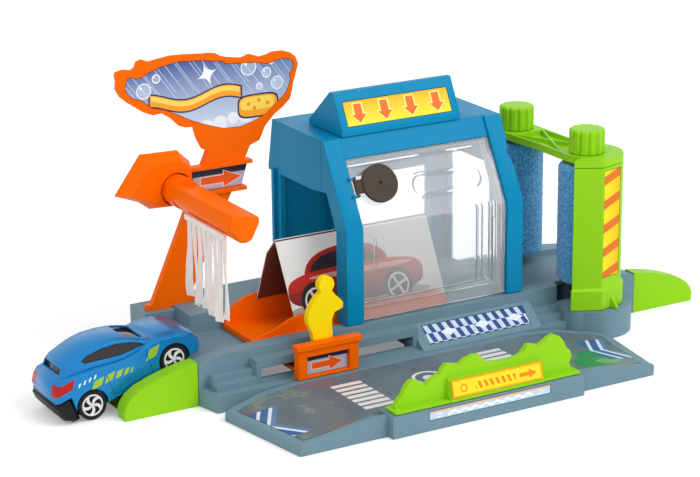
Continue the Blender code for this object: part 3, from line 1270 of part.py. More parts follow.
def build_cap(parent, paint):
    centre = (CAP_CENTRE_X, CAP_ALONG_SLANT)
    foot = CAP_STAND_OFF
    half = CAP_STRAP_WIDTH / 2
    pivot = (CAP_PIVOT_X, CAP_PIVOT_RISE)
    strap_span = (CAP_ALONG_SLANT - half, CAP_ALONG_SLANT + half)
    pin_reach = half + SEAT_GAP + CAP_LUG
    cap = unite(
        rod(centre, CAP_RADIUS, "Z", (foot, CAP_TOP), CAP_SIDES),
        rod(centre, CAP_PLUG_RADIUS, "Z", (foot - CAP_PLUG_LENGTH, foot + CAP_THICKNESS / 2), CAP_SIDES),
        box((CAP_PIVOT_X, CAP_CENTRE_X), strap_span, (foot, foot + CAP_STRAP_THICKNESS)),
        rod(pivot, CAP_BARREL_RADIUS, "Y", strap_span, PIN_SIDES),
        rod(pivot, CAP_PIN_RADIUS, "Y", (CAP_ALONG_SLANT - pin_reach, CAP_ALONG_SLANT + pin_reach), PIN_SIDES),
    )
    cut(cap, rod(centre, CAP_DIMPLE_RADIUS, "Z", (CAP_TOP - CAP_DIMPLE_RADIUS, CAP_TOP + OVERRUN), PIN_SIDES))
    axis = slant_frame() @ Vector((CAP_PIVOT_X, CAP_ALONG_SLANT, CAP_PIVOT_RISE))
    finish("filler_cap", move(cap, slant_frame()), paint, parent, axis, smooth=True)


# Tower
def tower_leg():
    foot = BACK_BLOCK_HEIGHT + SEAT_GAP
    wide = BACK_WALL_HEIGHT + ARROW_LIP
    low = foot - TOWER_SOCKET_DEPTH
    left = TOWER_LEG_LEFT
    right = left + TOWER_LEG_WIDTH
    outline = [
        (0, low), (0, wide), (left, wide), (left + TOWER_LEAN, TOWER_HEAD),
        (right + TOWER_LEAN + TOWER_LEG_SPREAD, TOWER_HEAD),
        (right, wide + TOWER_RIM), (right + left, wide), (right + left, low),
    ]
    return prism(outline, "Y", (TOWER_FRONT, TOWER_BACK))


def arrow_box():
    """The box with the arrow sign beside the boom's collar."""
    left = ARROW_LABEL_LEFT - ARROW_LIP
    right = ARROW_BOX_REACH - ARROW_LIP_REACH
    foot_right = right - ARROW_FOOT_INSET
    outline = [
        (COLLAR_CENTRE_X, ARROW_BOX_TOP), (COLLAR_CENTRE_X, ARROW_BOX_FOOT), (foot_right, ARROW_BOX_FOOT),
        (right, ARROW_BOX_TOP - ARROW_LIP), (right, ARROW_BOX_TOP),
    ]
    front = TOWER_FRONT - ARROW_LIP
    return [
        prism(outline, "Y", (TOWER_FRONT + ARROW_LIP, TOWER_BACK)),
        box((left, ARROW_BOX_REACH), (front, TOWER_BACK), (ARROW_BOX_TOP - ARROW_LIP, ARROW_BOX_TOP)),
        box((left, foot_right + ARROW_LIP_REACH), (front, TOWER_BACK), (ARROW_BOX_FOOT - ARROW_LIP, ARROW_BOX_FOOT)),
    ]


def arrow_label_outline(gap):
    right = ARROW_BOX_REACH - ARROW_LIP_REACH - gap
    foot = ARROW_BOX_FOOT + gap
    head = ARROW_BOX_TOP - ARROW_LIP - gap
    left = ARROW_LABEL_LEFT + gap
    return [(left, head), (left, foot), (right - ARROW_FOOT_INSET, foot), (right, head)]


def on_board(shares):
    return scaled(shares, (BOARD_LEFT, BOARD_FOOT), (BOARD_LENGTH, BOARD_RISE))


def collar_outline(share):
    outline = scaled(COLLAR_SHARES, (COLLAR_CENTRE_X, BOOM_HEIGHT + COLLAR_CENTRE_RISE), (COLLAR_RADIUS, COLLAR_RADIUS))
    return shrunk(outline, (BOOM_X, BOOM_HEIGHT), share)


def leg_pocket():
    foot = BACK_BLOCK_HEIGHT + TOWER_RIM
    rise = TOWER_LEG_RISE * TOWER_POCKET_SHARE
    lean = TOWER_LEAN * TOWER_POCKET_SHARE
    left = TOWER_LEG_LEFT + TOWER_RIM
    right = TOWER_LEG_LEFT + TOWER_LEG_WIDTH - TOWER_RIM
    outline = [(left, foot), (right, foot), (right + lean, foot + rise), (left + lean, foot + rise)]
    return prism(outline, "Y", (TOWER_FRONT + TOWER_WEB, TOWER_BACK + OVERRUN))


def build_tower(parent, paint, label_paint, arrow_paint):
    collar_front = TOWER_FRONT - COLLAR_LENGTH
    collar = loft([
        lay(collar_outline(COLLAR_FACE_SHARE), "Y", collar_front),
        lay(collar_outline(1), "Y", TOWER_FRONT - COLLAR_LENGTH / 3),
        lay(collar_outline(1), "Y", TOWER_FRONT - ARROW_LIP),
        lay(collar_outline(COLLAR_BACK_SHARE), "Y", TOWER_BACK - TOWER_WEB / 2),
    ])
    outline = on_board(BOARD_OUTLINE_SHARES)
    board = loft([lay(outline, "Y", TOWER_FRONT), lay(inset(outline, BOARD_DRAFT), "Y", TOWER_BACK)])
    tower = unite(tower_leg(), board, *arrow_box(), collar)
    cut(tower, prism(arrow_label_outline(0), "Y", (TOWER_FRONT - OVERRUN, TOWER_FRONT + ARROW_LIP)))
    cut(tower, prism(on_board(BOARD_LABEL_SHARES), "Y", (TOWER_FRONT - OVERRUN, TOWER_FRONT + LABEL_RECESS)))
    cut(tower, prism(on_board(BOARD_POCKET_SHARES), "Y", (TOWER_FRONT + LABEL_RECESS + TOWER_WEB, TOWER_BACK + OVERRUN)))
    cut(tower, leg_pocket())
    axis = (BOOM_X, BOOM_HEIGHT)
    cut(tower, rod(axis, BOOM_ROOT_RADIUS + RUNNING_GAP, "Y", (collar_front - OVERRUN, TOWER_BACK - 2 * TOWER_WEB)))
    cut(tower, rod(axis, BOOM_PIN_RADIUS + SEAT_GAP, "Y", (TOWER_FRONT - OVERRUN, TOWER_BACK + OVERRUN)))
    finish("tower", tower, paint, parent)
    face = TOWER_FRONT + LABEL_RECESS - SEAT_GAP
    board_label = prism(inset(on_board(BOARD_LABEL_SHARES), SEAT_GAP), "Y", (face - LABEL_THICKNESS, face))
    finish("tower_sign_label", board_label, label_paint, parent)
    face = TOWER_FRONT + ARROW_LIP - SEAT_GAP
    arrow_label = prism(arrow_label_outline(SEAT_GAP), "Y", (face - LABEL_THICKNESS, face))
    finish("tower_arrow_label", arrow_label, arrow_paint, parent)


# Boom
def boom_outline(share):
    return scaled(BOOM_OUTLINE_SHARES, (BOOM_X, BOOM_HEIGHT), (BOOM_WIDTH * share, BOOM_DEPTH * share))


def boom_groove(front):
    axis = (BOOM_X, BOOM_HEIGHT)
    width = 2 * BOOM_GROOVE
    ring = rod(axis, BOOM_ROOT_RADIUS + OVERRUN, "Y", (front, front + width))
    return cut(ring, rod(axis, BOOM_ROOT_RADIUS - BOOM_GROOVE, "Y", (front - OVERRUN, front + width + OVERRUN)))


def build_boom(parent, paint, steel):
    axis = (BOOM_X, BOOM_HEIGHT)
    body = loft([
        lay(boom_outline(BOOM_TIP_SHARE), "Y", BOOM_END_Y),
        lay(boom_outline(1), "Y", BOOM_END_Y + BOOM_TIP_LENGTH),
        lay(boom_outline(1), "Y", BOOM_ROOT_Y - BOOM_BLEND_LENGTH),
        lay(boom_outline(BOOM_TIP_SHARE), "Y", BOOM_ROOT_Y),
    ])
    seat = TOWER_BACK - 2 * TOWER_WEB - SEAT_GAP
    collar_front = TOWER_FRONT - COLLAR_LENGTH
    root = rod(axis, BOOM_ROOT_RADIUS, "Y", (BOOM_ROOT_Y - BOOM_BLEND_LENGTH, seat))
    pin = rod(axis, BOOM_PIN_RADIUS, "Y", (seat - OVERRUN, TOWER_BACK + SEAT_GAP))
    boom = cut(unite(body, root, pin), boom_groove(collar_front - BOOM_PIN_RADIUS))
    cut(boom, rod(axis, BOOM_SCREW_RADIUS + SEAT_GAP, "Y", (collar_front, TOWER_BACK + OVERRUN)))
    origin = (BOOM_X, TOWER_FRONT, BOOM_HEIGHT)
    finish("boom", boom, paint, parent, origin, smooth=True)
    head_foot = TOWER_BACK + 2 * SEAT_GAP
    head = rod(axis, BOOM_SCREW_HEAD_RADIUS, "Y", (head_foot, head_foot + BOOM_SCREW_HEAD_LENGTH))
    shank = rod(axis, BOOM_SCREW_RADIUS, "Y", (collar_front + SEAT_GAP, head_foot + BOOM_SCREW_HEAD_LENGTH / 2))
    finish("boom_screw", unite(head, shank), steel, parent, origin, smooth=True)


# Curtain of strips that hangs from a bar under the boom
def strip(front, width, drop, phase):
    """A hanging strip with a soft fold down its length, turned a little about its own line."""
    sections = []
    middle = front + width / 2
    head = CURTAIN_TOP - CURTAIN_BAR_RISE / 2
    for row in range(STRIP_ROWS + 1):
        share = row / STRIP_ROWS
        turn = STRIP_TURN * math.sin(math.pi * (share + phase)) * share
        sway = STRIP_FOLD * math.sin(2 * math.pi * (share * STRIP_WAVE_SHARE + phase)) * share
        bow = STRIP_FOLD * STRIP_BOW_SHARE * math.sin(math.pi * (share + phase)) * share
        across = Vector((math.sin(turn), math.cos(turn))) * width / 2
        thick = Vector((math.cos(turn), -math.sin(turn))) * STRIP_THICKNESS / 2
        centre = Vector((CURTAIN_X + bow, middle + sway))
        level = head - (drop + CURTAIN_BAR_RISE / 2) * share
        corners = [centre - across - thick, centre - across + thick, centre + across + thick, centre + across - thick]
        sections.append([(corner.x, corner.y, level) for corner in corners])
    return loft(sections)


def build_curtain(parent, paint):
    lean = CURTAIN_BAR_RISE * CURTAIN_BAR_LEAN_SHARE
    half = CURTAIN_BAR_WIDTH / 2
    foot = CURTAIN_TOP - CURTAIN_BAR_RISE
    outline = [(CURTAIN_X - half, foot), (CURTAIN_X + half, foot), (CURTAIN_X + half - lean, CURTAIN_TOP),
               (CURTAIN_X - half - lean, CURTAIN_TOP)]
    curtain = prism(outline, "Y", (CURTAIN_FRONT, CURTAIN_BACK))
    pitch = (CURTAIN_BACK - CURTAIN_FRONT + CURTAIN_CUT) / CURTAIN_COUNT
    for count in range(CURTAIN_COUNT):
        drop = STRIP_DROP * STRIP_DROP_SHARES[count % len(STRIP_DROP_SHARES)]
        phase = STRIP_PHASE_SHARES[count % len(STRIP_PHASE_SHARES)]
        unite(curtain, strip(CURTAIN_FRONT + count * pitch, pitch - CURTAIN_CUT, drop, phase))
    finish("wash_curtain", curtain, paint, parent, (BOOM_X, TOWER_FRONT, BOOM_HEIGHT))


# Rollers
def turned(profile, centre, sides):
    """A stack of rings of (radius, height) points around an upright axis."""
    return loft([lay(circle(centre, radius, sides), "Z", height) for radius, height in profile])


def knob_outline(place):
    outline = []
    points = 4 * KNOB_FLUTES
    for step in range(points):
        radius = KNOB_RADIUS * (KNOB_FLUTE_SHARE if step % 4 == 0 else 1)
        turn = 2 * math.pi * step / points
        outline.append((place[0] + radius * math.cos(turn), place[1] + radius * math.sin(turn)))
    return outline


def build_roller(label, place, floor, parent, paints):
    foam_paint, knob_paint, shaft_paint = paints
    foot = ROLLER_FOOT
    edge = ROLLER_RADIUS - ROLLER_EDGE
    profile = [(edge, foot), (ROLLER_RADIUS, foot + ROLLER_EDGE), (ROLLER_RADIUS, ROLLER_TOP - ROLLER_EDGE),
               (edge, ROLLER_TOP)]
    foam = turned(profile, place, ROLLER_SIDES)
    cut(foam, rod(place, SHAFT_RADIUS + SEAT_GAP, "Z", (foot - OVERRUN, ROLLER_TOP + OVERRUN)))
    origin = (place[0], place[1], foot)
    finish(label + "_roller_foam", foam, foam_paint, parent, origin, smooth=True)
    knob_top = KNOB_FOOT + KNOB_RISE
    outline = knob_outline(place)
    crown = shrunk(outline, place, 1 - KNOB_EDGE / KNOB_RADIUS)
    knob = loft([lay(outline, "Z", KNOB_FOOT), lay(outline, "Z", knob_top - KNOB_EDGE), lay(crown, "Z", knob_top)])
    square = SHAFT_RADIUS * SHAFT_SQUARE_SHARE
    socket = square + SEAT_GAP
    shaft_top = knob_top - 2 * KNOB_EDGE
    cut(knob, box((place[0] - socket, place[0] + socket), (place[1] - socket, place[1] + socket),
                  (KNOB_FOOT - OVERRUN, shaft_top + SEAT_GAP)))
    finish(label + "_roller_knob", knob, knob_paint, parent, origin)
    shaft = rod(place, SHAFT_RADIUS, "Z", (floor - BASE_WALL, BRIDGE_TOP))
    unite(shaft, box((place[0] - square, place[0] + square), (place[1] - square, place[1] + square),
                     (BRIDGE_FOOT, shaft_top)))
    finish(label + "_roller_shaft", shaft, shaft_paint, parent, origin, smooth=True)


def build_bridge(parent, paint):
    front = Vector((ROLLER_FRONT_X, ROLLER_FRONT_Y))
    back = Vector((ROLLER_BACK_X, ROLLER_BACK_Y))
    along = (back - front).normalized()
    across = Vector((along.y, -along.x))
    turn = math.atan2(along.y, along.x)
    radius = BRIDGE_WIDTH / 2
    waist = radius * BRIDGE_WAIST_SHARE
    middle = (front + back) / 2
    quarter = math.pi / 2
    outline = arc(front, radius, turn + quarter, turn + 3 * quarter, 12) + [tuple(middle + across * waist)]
    outline += arc(back, radius, turn - quarter, turn + quarter, 12) + [tuple(middle - across * waist)]
    bridge = prism(outline, "Z", (BRIDGE_FOOT, BRIDGE_TOP))
    unite(bridge, prism(column_plan(COLUMN_RADIUS), "Z", (BRIDGE_FOOT, BRIDGE_TOP)))
    boss = along * (KNOB_RADIUS + BRIDGE_RIM)
    out = across * (waist - BRIDGE_RIM / 2)
    corners = [front + boss + out, back - boss + out, back - boss - out, front + boss - out]
    for here, there in zip(corners, corners[1:] + corners[:1]):
        pocket = inset([tuple(here), tuple(there), tuple(middle)], BRIDGE_RIM / 2)
        cut(bridge, prism(pocket, "Z", (BRIDGE_FOOT + BRIDGE_WEB, BRIDGE_TOP + OVERRUN)))
    for place in (front, back):
        cut(bridge, rod(place, SHAFT_RADIUS + RUNNING_GAP, "Z", (BRIDGE_FOOT - OVERRUN, BRIDGE_TOP + OVERRUN)))
    finish("roller_bridge", bridge, paint, parent)


def column_plan(radius):
    """The column's outer line from its left edge round the front to its right edge."""
    centre = (ROLLER_FRONT_X, ROLLER_FRONT_Y)
    face_end = 2 * COLUMN_FACE_TURN - COLUMN_EDGE_TURN
    points = arc(centre, radius * COLUMN_LEFT_SHARE, COLUMN_LEFT_TURN, COLUMN_EDGE_TURN, 1)[:1]
    points += arc(centre, radius, COLUMN_EDGE_TURN, face_end, 1)
    return points + arc(centre, radius, face_end, COLUMN_RIGHT_TURN, COLUMN_STEPS)[1:]


def column_shell(foot):
    """The half shell, thicker at its foot."""
    inner = list(reversed(column_plan(COLUMN_RADIUS - COLUMN_WALL)))
    wide = column_plan(COLUMN_RADIUS + COLUMN_FLARE) + inner
    slim = column_plan(COLUMN_RADIUS) + inner
    flare_top = foot + COLUMN_FLARE_HEIGHT
    return loft([
        lay(wide, "Z", foot), lay(wide, "Z", flare_top - COLUMN_FLARE), lay(slim, "Z", flare_top),
        lay(slim, "Z", COLUMN_TOP),
    ])


def column_plate(depth, rise, gap):
    """A plate in the column's flat face."""
    points = column_plan(COLUMN_RADIUS)
    near, far = Vector(points[1]), Vector(points[2])
    along = (far - near).normalized()
    outward = Vector((along.y, -along.x))
    middle = (near + far) / 2
    half = along * (COLUMN_LABEL_WIDTH / 2 - gap)
    corners = [middle - half - outward * depth, middle + half - outward * depth, middle + half + outward * rise,
               middle - half + outward * rise]
    foot = COLUMN_LABEL_FOOT + gap
    return prism([tuple(corner) for corner in corners], "Z", (foot, foot + COLUMN_LABEL_RISE - 2 * gap))


def column_gusset():
    """A small web that props the foot of the column in the middle of its flat face."""
    foot = CUP_HEIGHT + SEAT_GAP
    points = column_plan(COLUMN_RADIUS)
    near, far = Vector(points[1]), Vector(points[2])
    along = (far - near).normalized()
    outward = Vector((along.y, -along.x))
    half = along * GUSSET_THICKNESS / 2
    root = (near + far) / 2 - outward * COLUMN_WALL / 2
    tip = root + outward * GUSSET_REACH
    sections = []
    for side in (-half, half):
        inner, outer = root + side, tip + side
        sections.append([(inner.x, inner.y, foot), (outer.x, outer.y, foot),
                         (outer.x, outer.y, foot + GUSSET_THICKNESS), (inner.x, inner.y, foot + GUSSET_RISE)])
    return loft(sections)


def build_column(parent, paint, label_paint):
    column = unite(column_shell(CUP_HEIGHT + SEAT_GAP), column_gusset())
    cut(column, column_plate(LABEL_RECESS, OVERRUN, 0))
    finish("roller_column", column, paint, parent)
    finish("column_label", label_in(column_plate), label_paint, parent)


# Carriage
def fin(shares, rise, front):
    outline = scaled(shares, (TRAY_LEFT, TRAY_FOOT), (TRAY_LENGTH, rise))
    return prism(outline, "Y", (front, front + TRAY_FIN))


def tray_lip():
    top = TRAY_FOOT + TRAY_FLOOR + TRAY_LIP_RISE
    end = TRAY_LEFT + TRAY_LIP_LENGTH
    outline = [(TRAY_LEFT, TRAY_FOOT), (TRAY_LEFT, top), (TRAY_LEFT + TRAY_LIP_LENGTH / 3, top),
               (end, TRAY_FOOT + TRAY_FLOOR / 2), (end, TRAY_FOOT)]
    return prism(outline, "Y", (TRAY_FRONT, TRAY_BACK))


def frame_box(y_span, gap):
    """The label's place in the sign frame."""
    return box((FRAME_LEFT + FRAME_SIDE + gap, FRAME_LEFT + FRAME_LENGTH - FRAME_SIDE - gap), y_span,
               (FRAME_BASE + FRAME_FOOT + gap, FRAME_BASE + FRAME_RISE - FRAME_TOP - gap))


def figure_tab(gap):
    back = FIGURE_FRONT + FIGURE_THICKNESS
    half = FIGURE_TAB_LENGTH / 2
    return box((FIGURE_X - half - gap, FIGURE_X + half + gap),
               (FIGURE_FRONT + FIGURE_TAB_EDGE - gap, back - FIGURE_TAB_EDGE + gap),
               (ARM_TOP - FIGURE_TAB_DROP - gap, ARM_TOP + OVERRUN))


def build_carriage(parent, paint, label_paint, steel):
    origin = (ARM_LEFT, STEM_FRONT, TRAY_FOOT)
    screw_at = (STEM_LEFT + STEM_LENGTH / 2, STEM_FRONT + STEM_DEPTH / 2)
    tray = unite(
        box((TRAY_LEFT, TRAY_RIGHT), (TRAY_FRONT, TRAY_BACK), (TRAY_FOOT, TRAY_FOOT + TRAY_FLOOR)),
        tray_lip(),
        fin(TRAY_FRONT_FIN_SHARES, TRAY_FRONT_FIN_RISE, TRAY_FIN_FRONT),
        fin(TRAY_BACK_FIN_SHARES, TRAY_BACK_FIN_RISE, TRAY_BACK - TRAY_FIN),
    )
    cut(tray, rod(screw_at, SCREW_RADIUS + SEAT_GAP, "Z", (TRAY_FOOT - OVERRUN, TRAY_FOOT + TRAY_FLOOR + OVERRUN)))
    finish("carriage_tray", tray, paint, parent, origin)

    stem_back = STEM_FRONT + STEM_DEPTH
    frame_right = FRAME_LEFT + FRAME_LENGTH
    frame_top = FRAME_BASE + FRAME_RISE
    frame_back = FRAME_FRONT + FRAME_THICKNESS
    arm = unite(
        box((ARM_LEFT, ARM_LEFT + ARM_LENGTH), (FRAME_FRONT + FRAME_THICKNESS / 2, stem_back), (ARM_FOOT, ARM_TOP)),
        box((STEM_LEFT, STEM_LEFT + STEM_LENGTH), (STEM_FRONT, stem_back), (ARM_FOOT, TRAY_FOOT - SEAT_GAP)),
        box((FRAME_LEFT, frame_right), (FRAME_FRONT, frame_back), (FRAME_BASE, frame_top)),
        box((FRAME_LEFT - FRAME_BAR_OVERHANG / 2, frame_right + FRAME_BAR_OVERHANG),
            (FRAME_FRONT - FRAME_BAR_OVERHANG / 2, frame_back), (frame_top - FRAME_BAR_RISE, frame_top)),
    )
    plate_front = frame_back - FRAME_PLATE
    cut(arm, frame_box((FRAME_FRONT - OVERRUN, plate_front), 0), figure_tab(SEAT_GAP))
    cut(arm, rod(screw_at, SCREW_RADIUS + SEAT_GAP, "Z", (ARM_TOP, TRAY_FOOT + OVERRUN)))
    finish("carriage_arm", arm, paint, parent, origin)
    face = plate_front - SEAT_GAP
    finish("carriage_label", frame_box((face - LABEL_THICKNESS, face), SEAT_GAP), label_paint, parent, origin)

    head_foot = TRAY_FOOT + TRAY_FLOOR + SEAT_GAP
    head = rod(screw_at, SCREW_HEAD_RADIUS, "Z", (head_foot, head_foot + SCREW_HEAD_RISE))
    shank = rod(screw_at, SCREW_RADIUS, "Z", (ARM_TOP + SEAT_GAP, head_foot + SCREW_HEAD_RISE / 2))
    finish("carriage_screw", unite(head, shank), steel, parent, origin, smooth=True)


def build_figure(parent, paint):
    foot = ARM_TOP + SEAT_GAP
    back = FIGURE_FRONT + FIGURE_THICKNESS
    outline = scaled(FIGURE_OUTLINE_SHARES, (FIGURE_X, foot), (FIGURE_WIDTH, FIGURE_RISE))
    body = prism(outline, "Y", (FIGURE_FRONT, back))
    head_at = (FIGURE_X + FIGURE_HEAD_SHIFT, foot + FIGURE_RISE)
    head = rod(head_at, FIGURE_HEAD_RADIUS, "Y", (FIGURE_FRONT, back))
    finish("attendant", unite(body, head, figure_tab(0)), paint, parent, (ARM_LEFT, STEM_FRONT, TRAY_FOOT))


def card_sheet(points, inward):
    """A sheet of card through points of one plane, thickened inwards."""
    return loft([points, [tuple(Vector(point) + inward * CARD_THICKNESS) for point in points]])


def build_card(parent, paint):
    foot = TRAY_FOOT + TRAY_FLOOR + SEAT_GAP + CARD_THICKNESS / 2
    top = foot + CARD_HEIGHT
    near = TRAY_FIN_FRONT + TRAY_FIN + SEAT_GAP
    far = TRAY_BACK - TRAY_FIN - SEAT_GAP
    right = CARD_LEFT + CARD_LENGTH
    low_left = CARD_LEFT + CARD_SHEAR
    front = [(low_left, near, foot), (right + CARD_SHEAR, near, foot), (right, CARD_APEX_Y, top),
             (CARD_LEFT, CARD_APEX_Y, top)]
    flap_foot = top - CARD_FLAP_DROP
    shoulder_y = CARD_APEX_Y + (far - CARD_APEX_Y) * CARD_SHOULDER_SHARE
    shoulder_z = top - CARD_FLAP_DROP * CARD_SHOULDER_SHARE
    back = [
        (CARD_LEFT, CARD_APEX_Y, top), (CARD_LEFT - CARD_SHOULDER_REACH, shoulder_y, shoulder_z),
        (CARD_LEFT - CARD_FLAP_REACH, far, flap_foot), (right + CARD_SHEAR, far, flap_foot),
        (right, CARD_APEX_Y, top),
    ]
    front_inward = Vector((0, top - foot, near - CARD_APEX_Y)).normalized()
    back_inward = Vector((0, flap_foot - top, CARD_APEX_Y - far)).normalized()
    card = unite(card_sheet(front, front_inward), card_sheet(back, back_inward))
    finish("tent_card", card, paint, parent, (ARM_LEFT, STEM_FRONT, TRAY_FOOT))


# Toy car, worked from its rear axle: X forward, Y across, Z up
def car_profile(shares):
    return scaled(shares, (-CAR_TAIL, 0), (CAR_LENGTH, CAR_HEIGHT))


def car_block(outline, low_half_width, high_half_width):
    """The outline drawn across the car, narrower towards its top and rounded at its sides."""
    low = min(z for _, z in outline)
    high = max(z for _, z in outline)
    rounded = inset(outline, CAR_SIDE_ROUND * CAR_SIDE_ROUND_SHARE)
    sections = []
    for side, points, trim in ((-1, rounded, 0), (-1, outline, CAR_SIDE_ROUND), (1, outline, CAR_SIDE_ROUND),
                               (1, rounded, 0)):
        ring = []
        for x, z in points:
            lean = (z - low) / (high - low)
            ring.append((x, side * (low_half_width + (high_half_width - low_half_width) * lean - trim), z))
        sections.append(ring)
    return loft(sections)


def cabin_block(gap):
    outline = car_profile(CAR_CABIN_SHARES)
    if gap:
        outline = inset(outline, gap)
    return car_block(outline, CAR_CABIN_HALF_WIDTH - gap, CAR_ROOF_HALF_WIDTH - gap)


def car_arches():
    """Round cutters for the wheels on both sides of both axles."""
    wide = CAR_HALF_WIDTH + OVERRUN
    deep = CAR_HALF_WIDTH - CAR_ARCH_DEPTH
    cutters = []
    for x in (0, CAR_WHEELBASE):
        for side in (-1, 1):
            cutters.append(rod((x, 0), CAR_ARCH_RADIUS, "Y", sorted((side * deep, side * wide))))
    return cutters


def car_base_box(gap):
    """The base plate, grown by a gap for its recess."""
    front = CAR_LENGTH - CAR_TAIL - CAR_BASE_END
    half = CAR_HALF_WIDTH - CAR_BASE_INSET + gap
    foot = CAR_BASE_HEIGHT - OVERRUN if gap else CAR_BASE_HEIGHT
    back = -CAR_TAIL * 2 / 3 - gap
    return box((back, front + gap), (-half, half), (foot, CAR_BASE_HEIGHT + CAR_BASE_THICKNESS + gap))


def bumper_recess():
    """Room for the rear bumper in the body."""
    wide = CAR_HALF_WIDTH + OVERRUN
    outline = inset(car_profile(CAR_BUMPER_SHARES), -SEAT_GAP)
    back = min(x for x, _ in outline) - OVERRUN
    foot = min(z for _, z in outline) - OVERRUN
    top = max(z for _, z in outline)
    front = max(x for x, _ in outline)
    return box((back, front), (-wide, wide), (foot, top))


def build_car_body(parent, paint):
    wide = CAR_HALF_WIDTH + OVERRUN
    screen = (-CAR_SCREEN_HALF_WIDTH, CAR_SCREEN_HALF_WIDTH)
    body = unite(car_block(car_profile(CAR_BODY_SHARES), CAR_HALF_WIDTH, CAR_HALF_WIDTH), cabin_block(0))
    cut(body, car_base_box(SEAT_GAP), bumper_recess(), *car_arches())
    half = CAR_AXLE_RADIUS + RUNNING_GAP
    for x in (0, CAR_WHEELBASE):
        cut(body, box((x - half, x + half), (-wide, wide), (CAR_BASE_HEIGHT - OVERRUN, half)))
    cut(body, cabin_block(CAR_SHELL), prism(car_profile(CAR_SIDE_WINDOW_SHARES), "Y", (-wide, wide)))
    cut(body, prism(car_profile(CAR_SCREEN_SHARES), "Y", screen), prism(car_profile(CAR_REAR_SCREEN_SHARES), "Y", screen))
    finish("car_body", body, paint, parent, smooth=True)


def build_car_wheel(name, x, side, parent, paint):
    face = side * CAR_WHEEL_FACE
    back = side * (CAR_WHEEL_FACE - CAR_WHEEL_WIDTH)
    hub = side * (CAR_WHEEL_FACE - CAR_WHEEL_WIDTH / 2 + SEAT_GAP)
    wheel = rod((x, 0), CAR_WHEEL_RADIUS, "Y", sorted((back, face)))
    cut(wheel, rod((x, 0), CAR_AXLE_RADIUS + SEAT_GAP, "Y", sorted((back - side * OVERRUN, hub)), PIN_SIDES))
    rim = CAR_WHEEL_RADIUS * CAR_RIM_SHARE
    cut(wheel, rod((x, 0), rim, "Y", sorted((face - side * LABEL_RECESS, face + side * OVERRUN))))
    finish(name, wheel, paint, parent, (x, 0, 0), smooth=True)


def build_car(parent, paints):
    body_paint, glass_paint, black_paint, steel_paint = paints
    build_car_body(parent, body_paint)
    finish("car_windows", cabin_block(CAR_SHELL + SEAT_GAP), glass_paint, parent, smooth=True)
    bumper = car_block(car_profile(CAR_BUMPER_SHARES), CAR_BUMPER_HALF_WIDTH, CAR_BUMPER_HALF_WIDTH)
    finish("car_chassis", cut(unite(car_base_box(0), bumper), *car_arches()), black_paint, parent)
    reach = CAR_WHEEL_FACE - CAR_WHEEL_WIDTH / 2
    for name, x in (("rear", 0), ("front", CAR_WHEELBASE)):
        axle = rod((x, 0), CAR_AXLE_RADIUS, "Y", (-reach, reach), PIN_SIDES)
        finish("car_" + name + "_axle", axle, steel_paint, parent, (x, 0, 0), smooth=True)
        build_car_wheel("car_" + name + "_wheel_near", x, -1, parent, black_paint)
        build_car_wheel("car_" + name + "_wheel_far", x, 1, parent, black_paint)


def place_on_origin(root):
    """Brings the middle of the footprint to the world origin."""
    bpy.context.view_layer.update()
    corners = [
        thing.matrix_world @ vertex.co
        for thing in bpy.data.objects if thing.type == "MESH" for vertex in thing.data.vertices
    ]
    for axis in (0, 1):
        places = [corner[axis] for corner in corners]
        root.location[axis] = -(min(places) + max(places)) / 2
    root.location[2] = -min(corner[2] for corner in corners)
    bpy.context.view_layer.update()


def main():
    clear_scene()
    root = empty("playset")
    slate = material("slate_plastic", BASE_COLOUR, 0.42)
    blue = material("blue_plastic", BLUE_COLOUR, 0.30)
    lime = material("lime_plastic", LIME_COLOUR, 0.35)
    orange = material("orange_plastic", ORANGE_COLOUR, 0.35)
    yellow = material("yellow_plastic", YELLOW_COLOUR, 0.40)
    foam = material("blue_foam", FOAM_COLOUR, 0.95)
    cloth = material("cream_cloth", CURTAIN_COLOUR, 0.90)
    rubber = material("brown_rubber", RUBBER_COLOUR, 0.55)
    clear = material("clear_plastic", CLEAR_COLOUR, 0.12)
    steel = material("screw_steel", STEEL_COLOUR, 0.35, 1.0)
    enamel = material("car_enamel", CAR_COLOUR, 0.22)
    black = material("black_plastic", BLACK_COLOUR, 0.45)
    glass = material("dark_glazing", GLASS_COLOUR, 0.10)
    card = material("printed_card", CARD_COLOUR, 0.60)
    yellow_label = material("yellow_label", LABEL_YELLOW, 0.30)
    blue_label = material("blue_label", LABEL_BLUE, 0.30)
    navy_label = material("navy_label", LABEL_NAVY, 0.30)
    sky_label = material("sky_label", LABEL_SKY, 0.30)
    road_label = material("road_label", LABEL_ROAD, 0.25)

    build_base(root, slate)
    finish("checker_label", label_in(panel_plate), sky_label, root)
    build_ramp("entry_ramp", True, root, lime)
    build_ramp("exit_ramp", False, root, lime)
    build_forecourt(root, slate)
    build_forecourt_labels(root, road_label, sky_label)
    build_hedge(root, lime, yellow_label)
    build_house(root, blue)
    build_hood(root, blue, yellow_label)
    build_window(root, clear)
    build_cap(root, rubber)
    build_tower(root, orange, blue_label, navy_label)
    build_boom(root, orange, steel)
    build_curtain(root, cloth)
    for label, (place, floor) in zip(("front", "back"), roller_places()):
        build_roller(label, place, floor, root, (foam, lime, lime))
    build_bridge(root, lime)
    build_column(root, lime, yellow_label)
    build_carriage(root, orange, navy_label, steel)
    build_figure(root, yellow)
    build_card(root, card)
    car = empty("car", root, (CAR_X, CAR_Y, CAR_AXLE_HEIGHT), (0, -CAR_PITCH, 0))
    build_car(car, (enamel, glass, black, steel))
    place_on_origin(root)


main()
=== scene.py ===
"""A toy car wash playset: finishes, prints, foam, cloth strips and fine trim around the fixed model."""

import json
import math

import bpy
from mathutils import Matrix, Vector

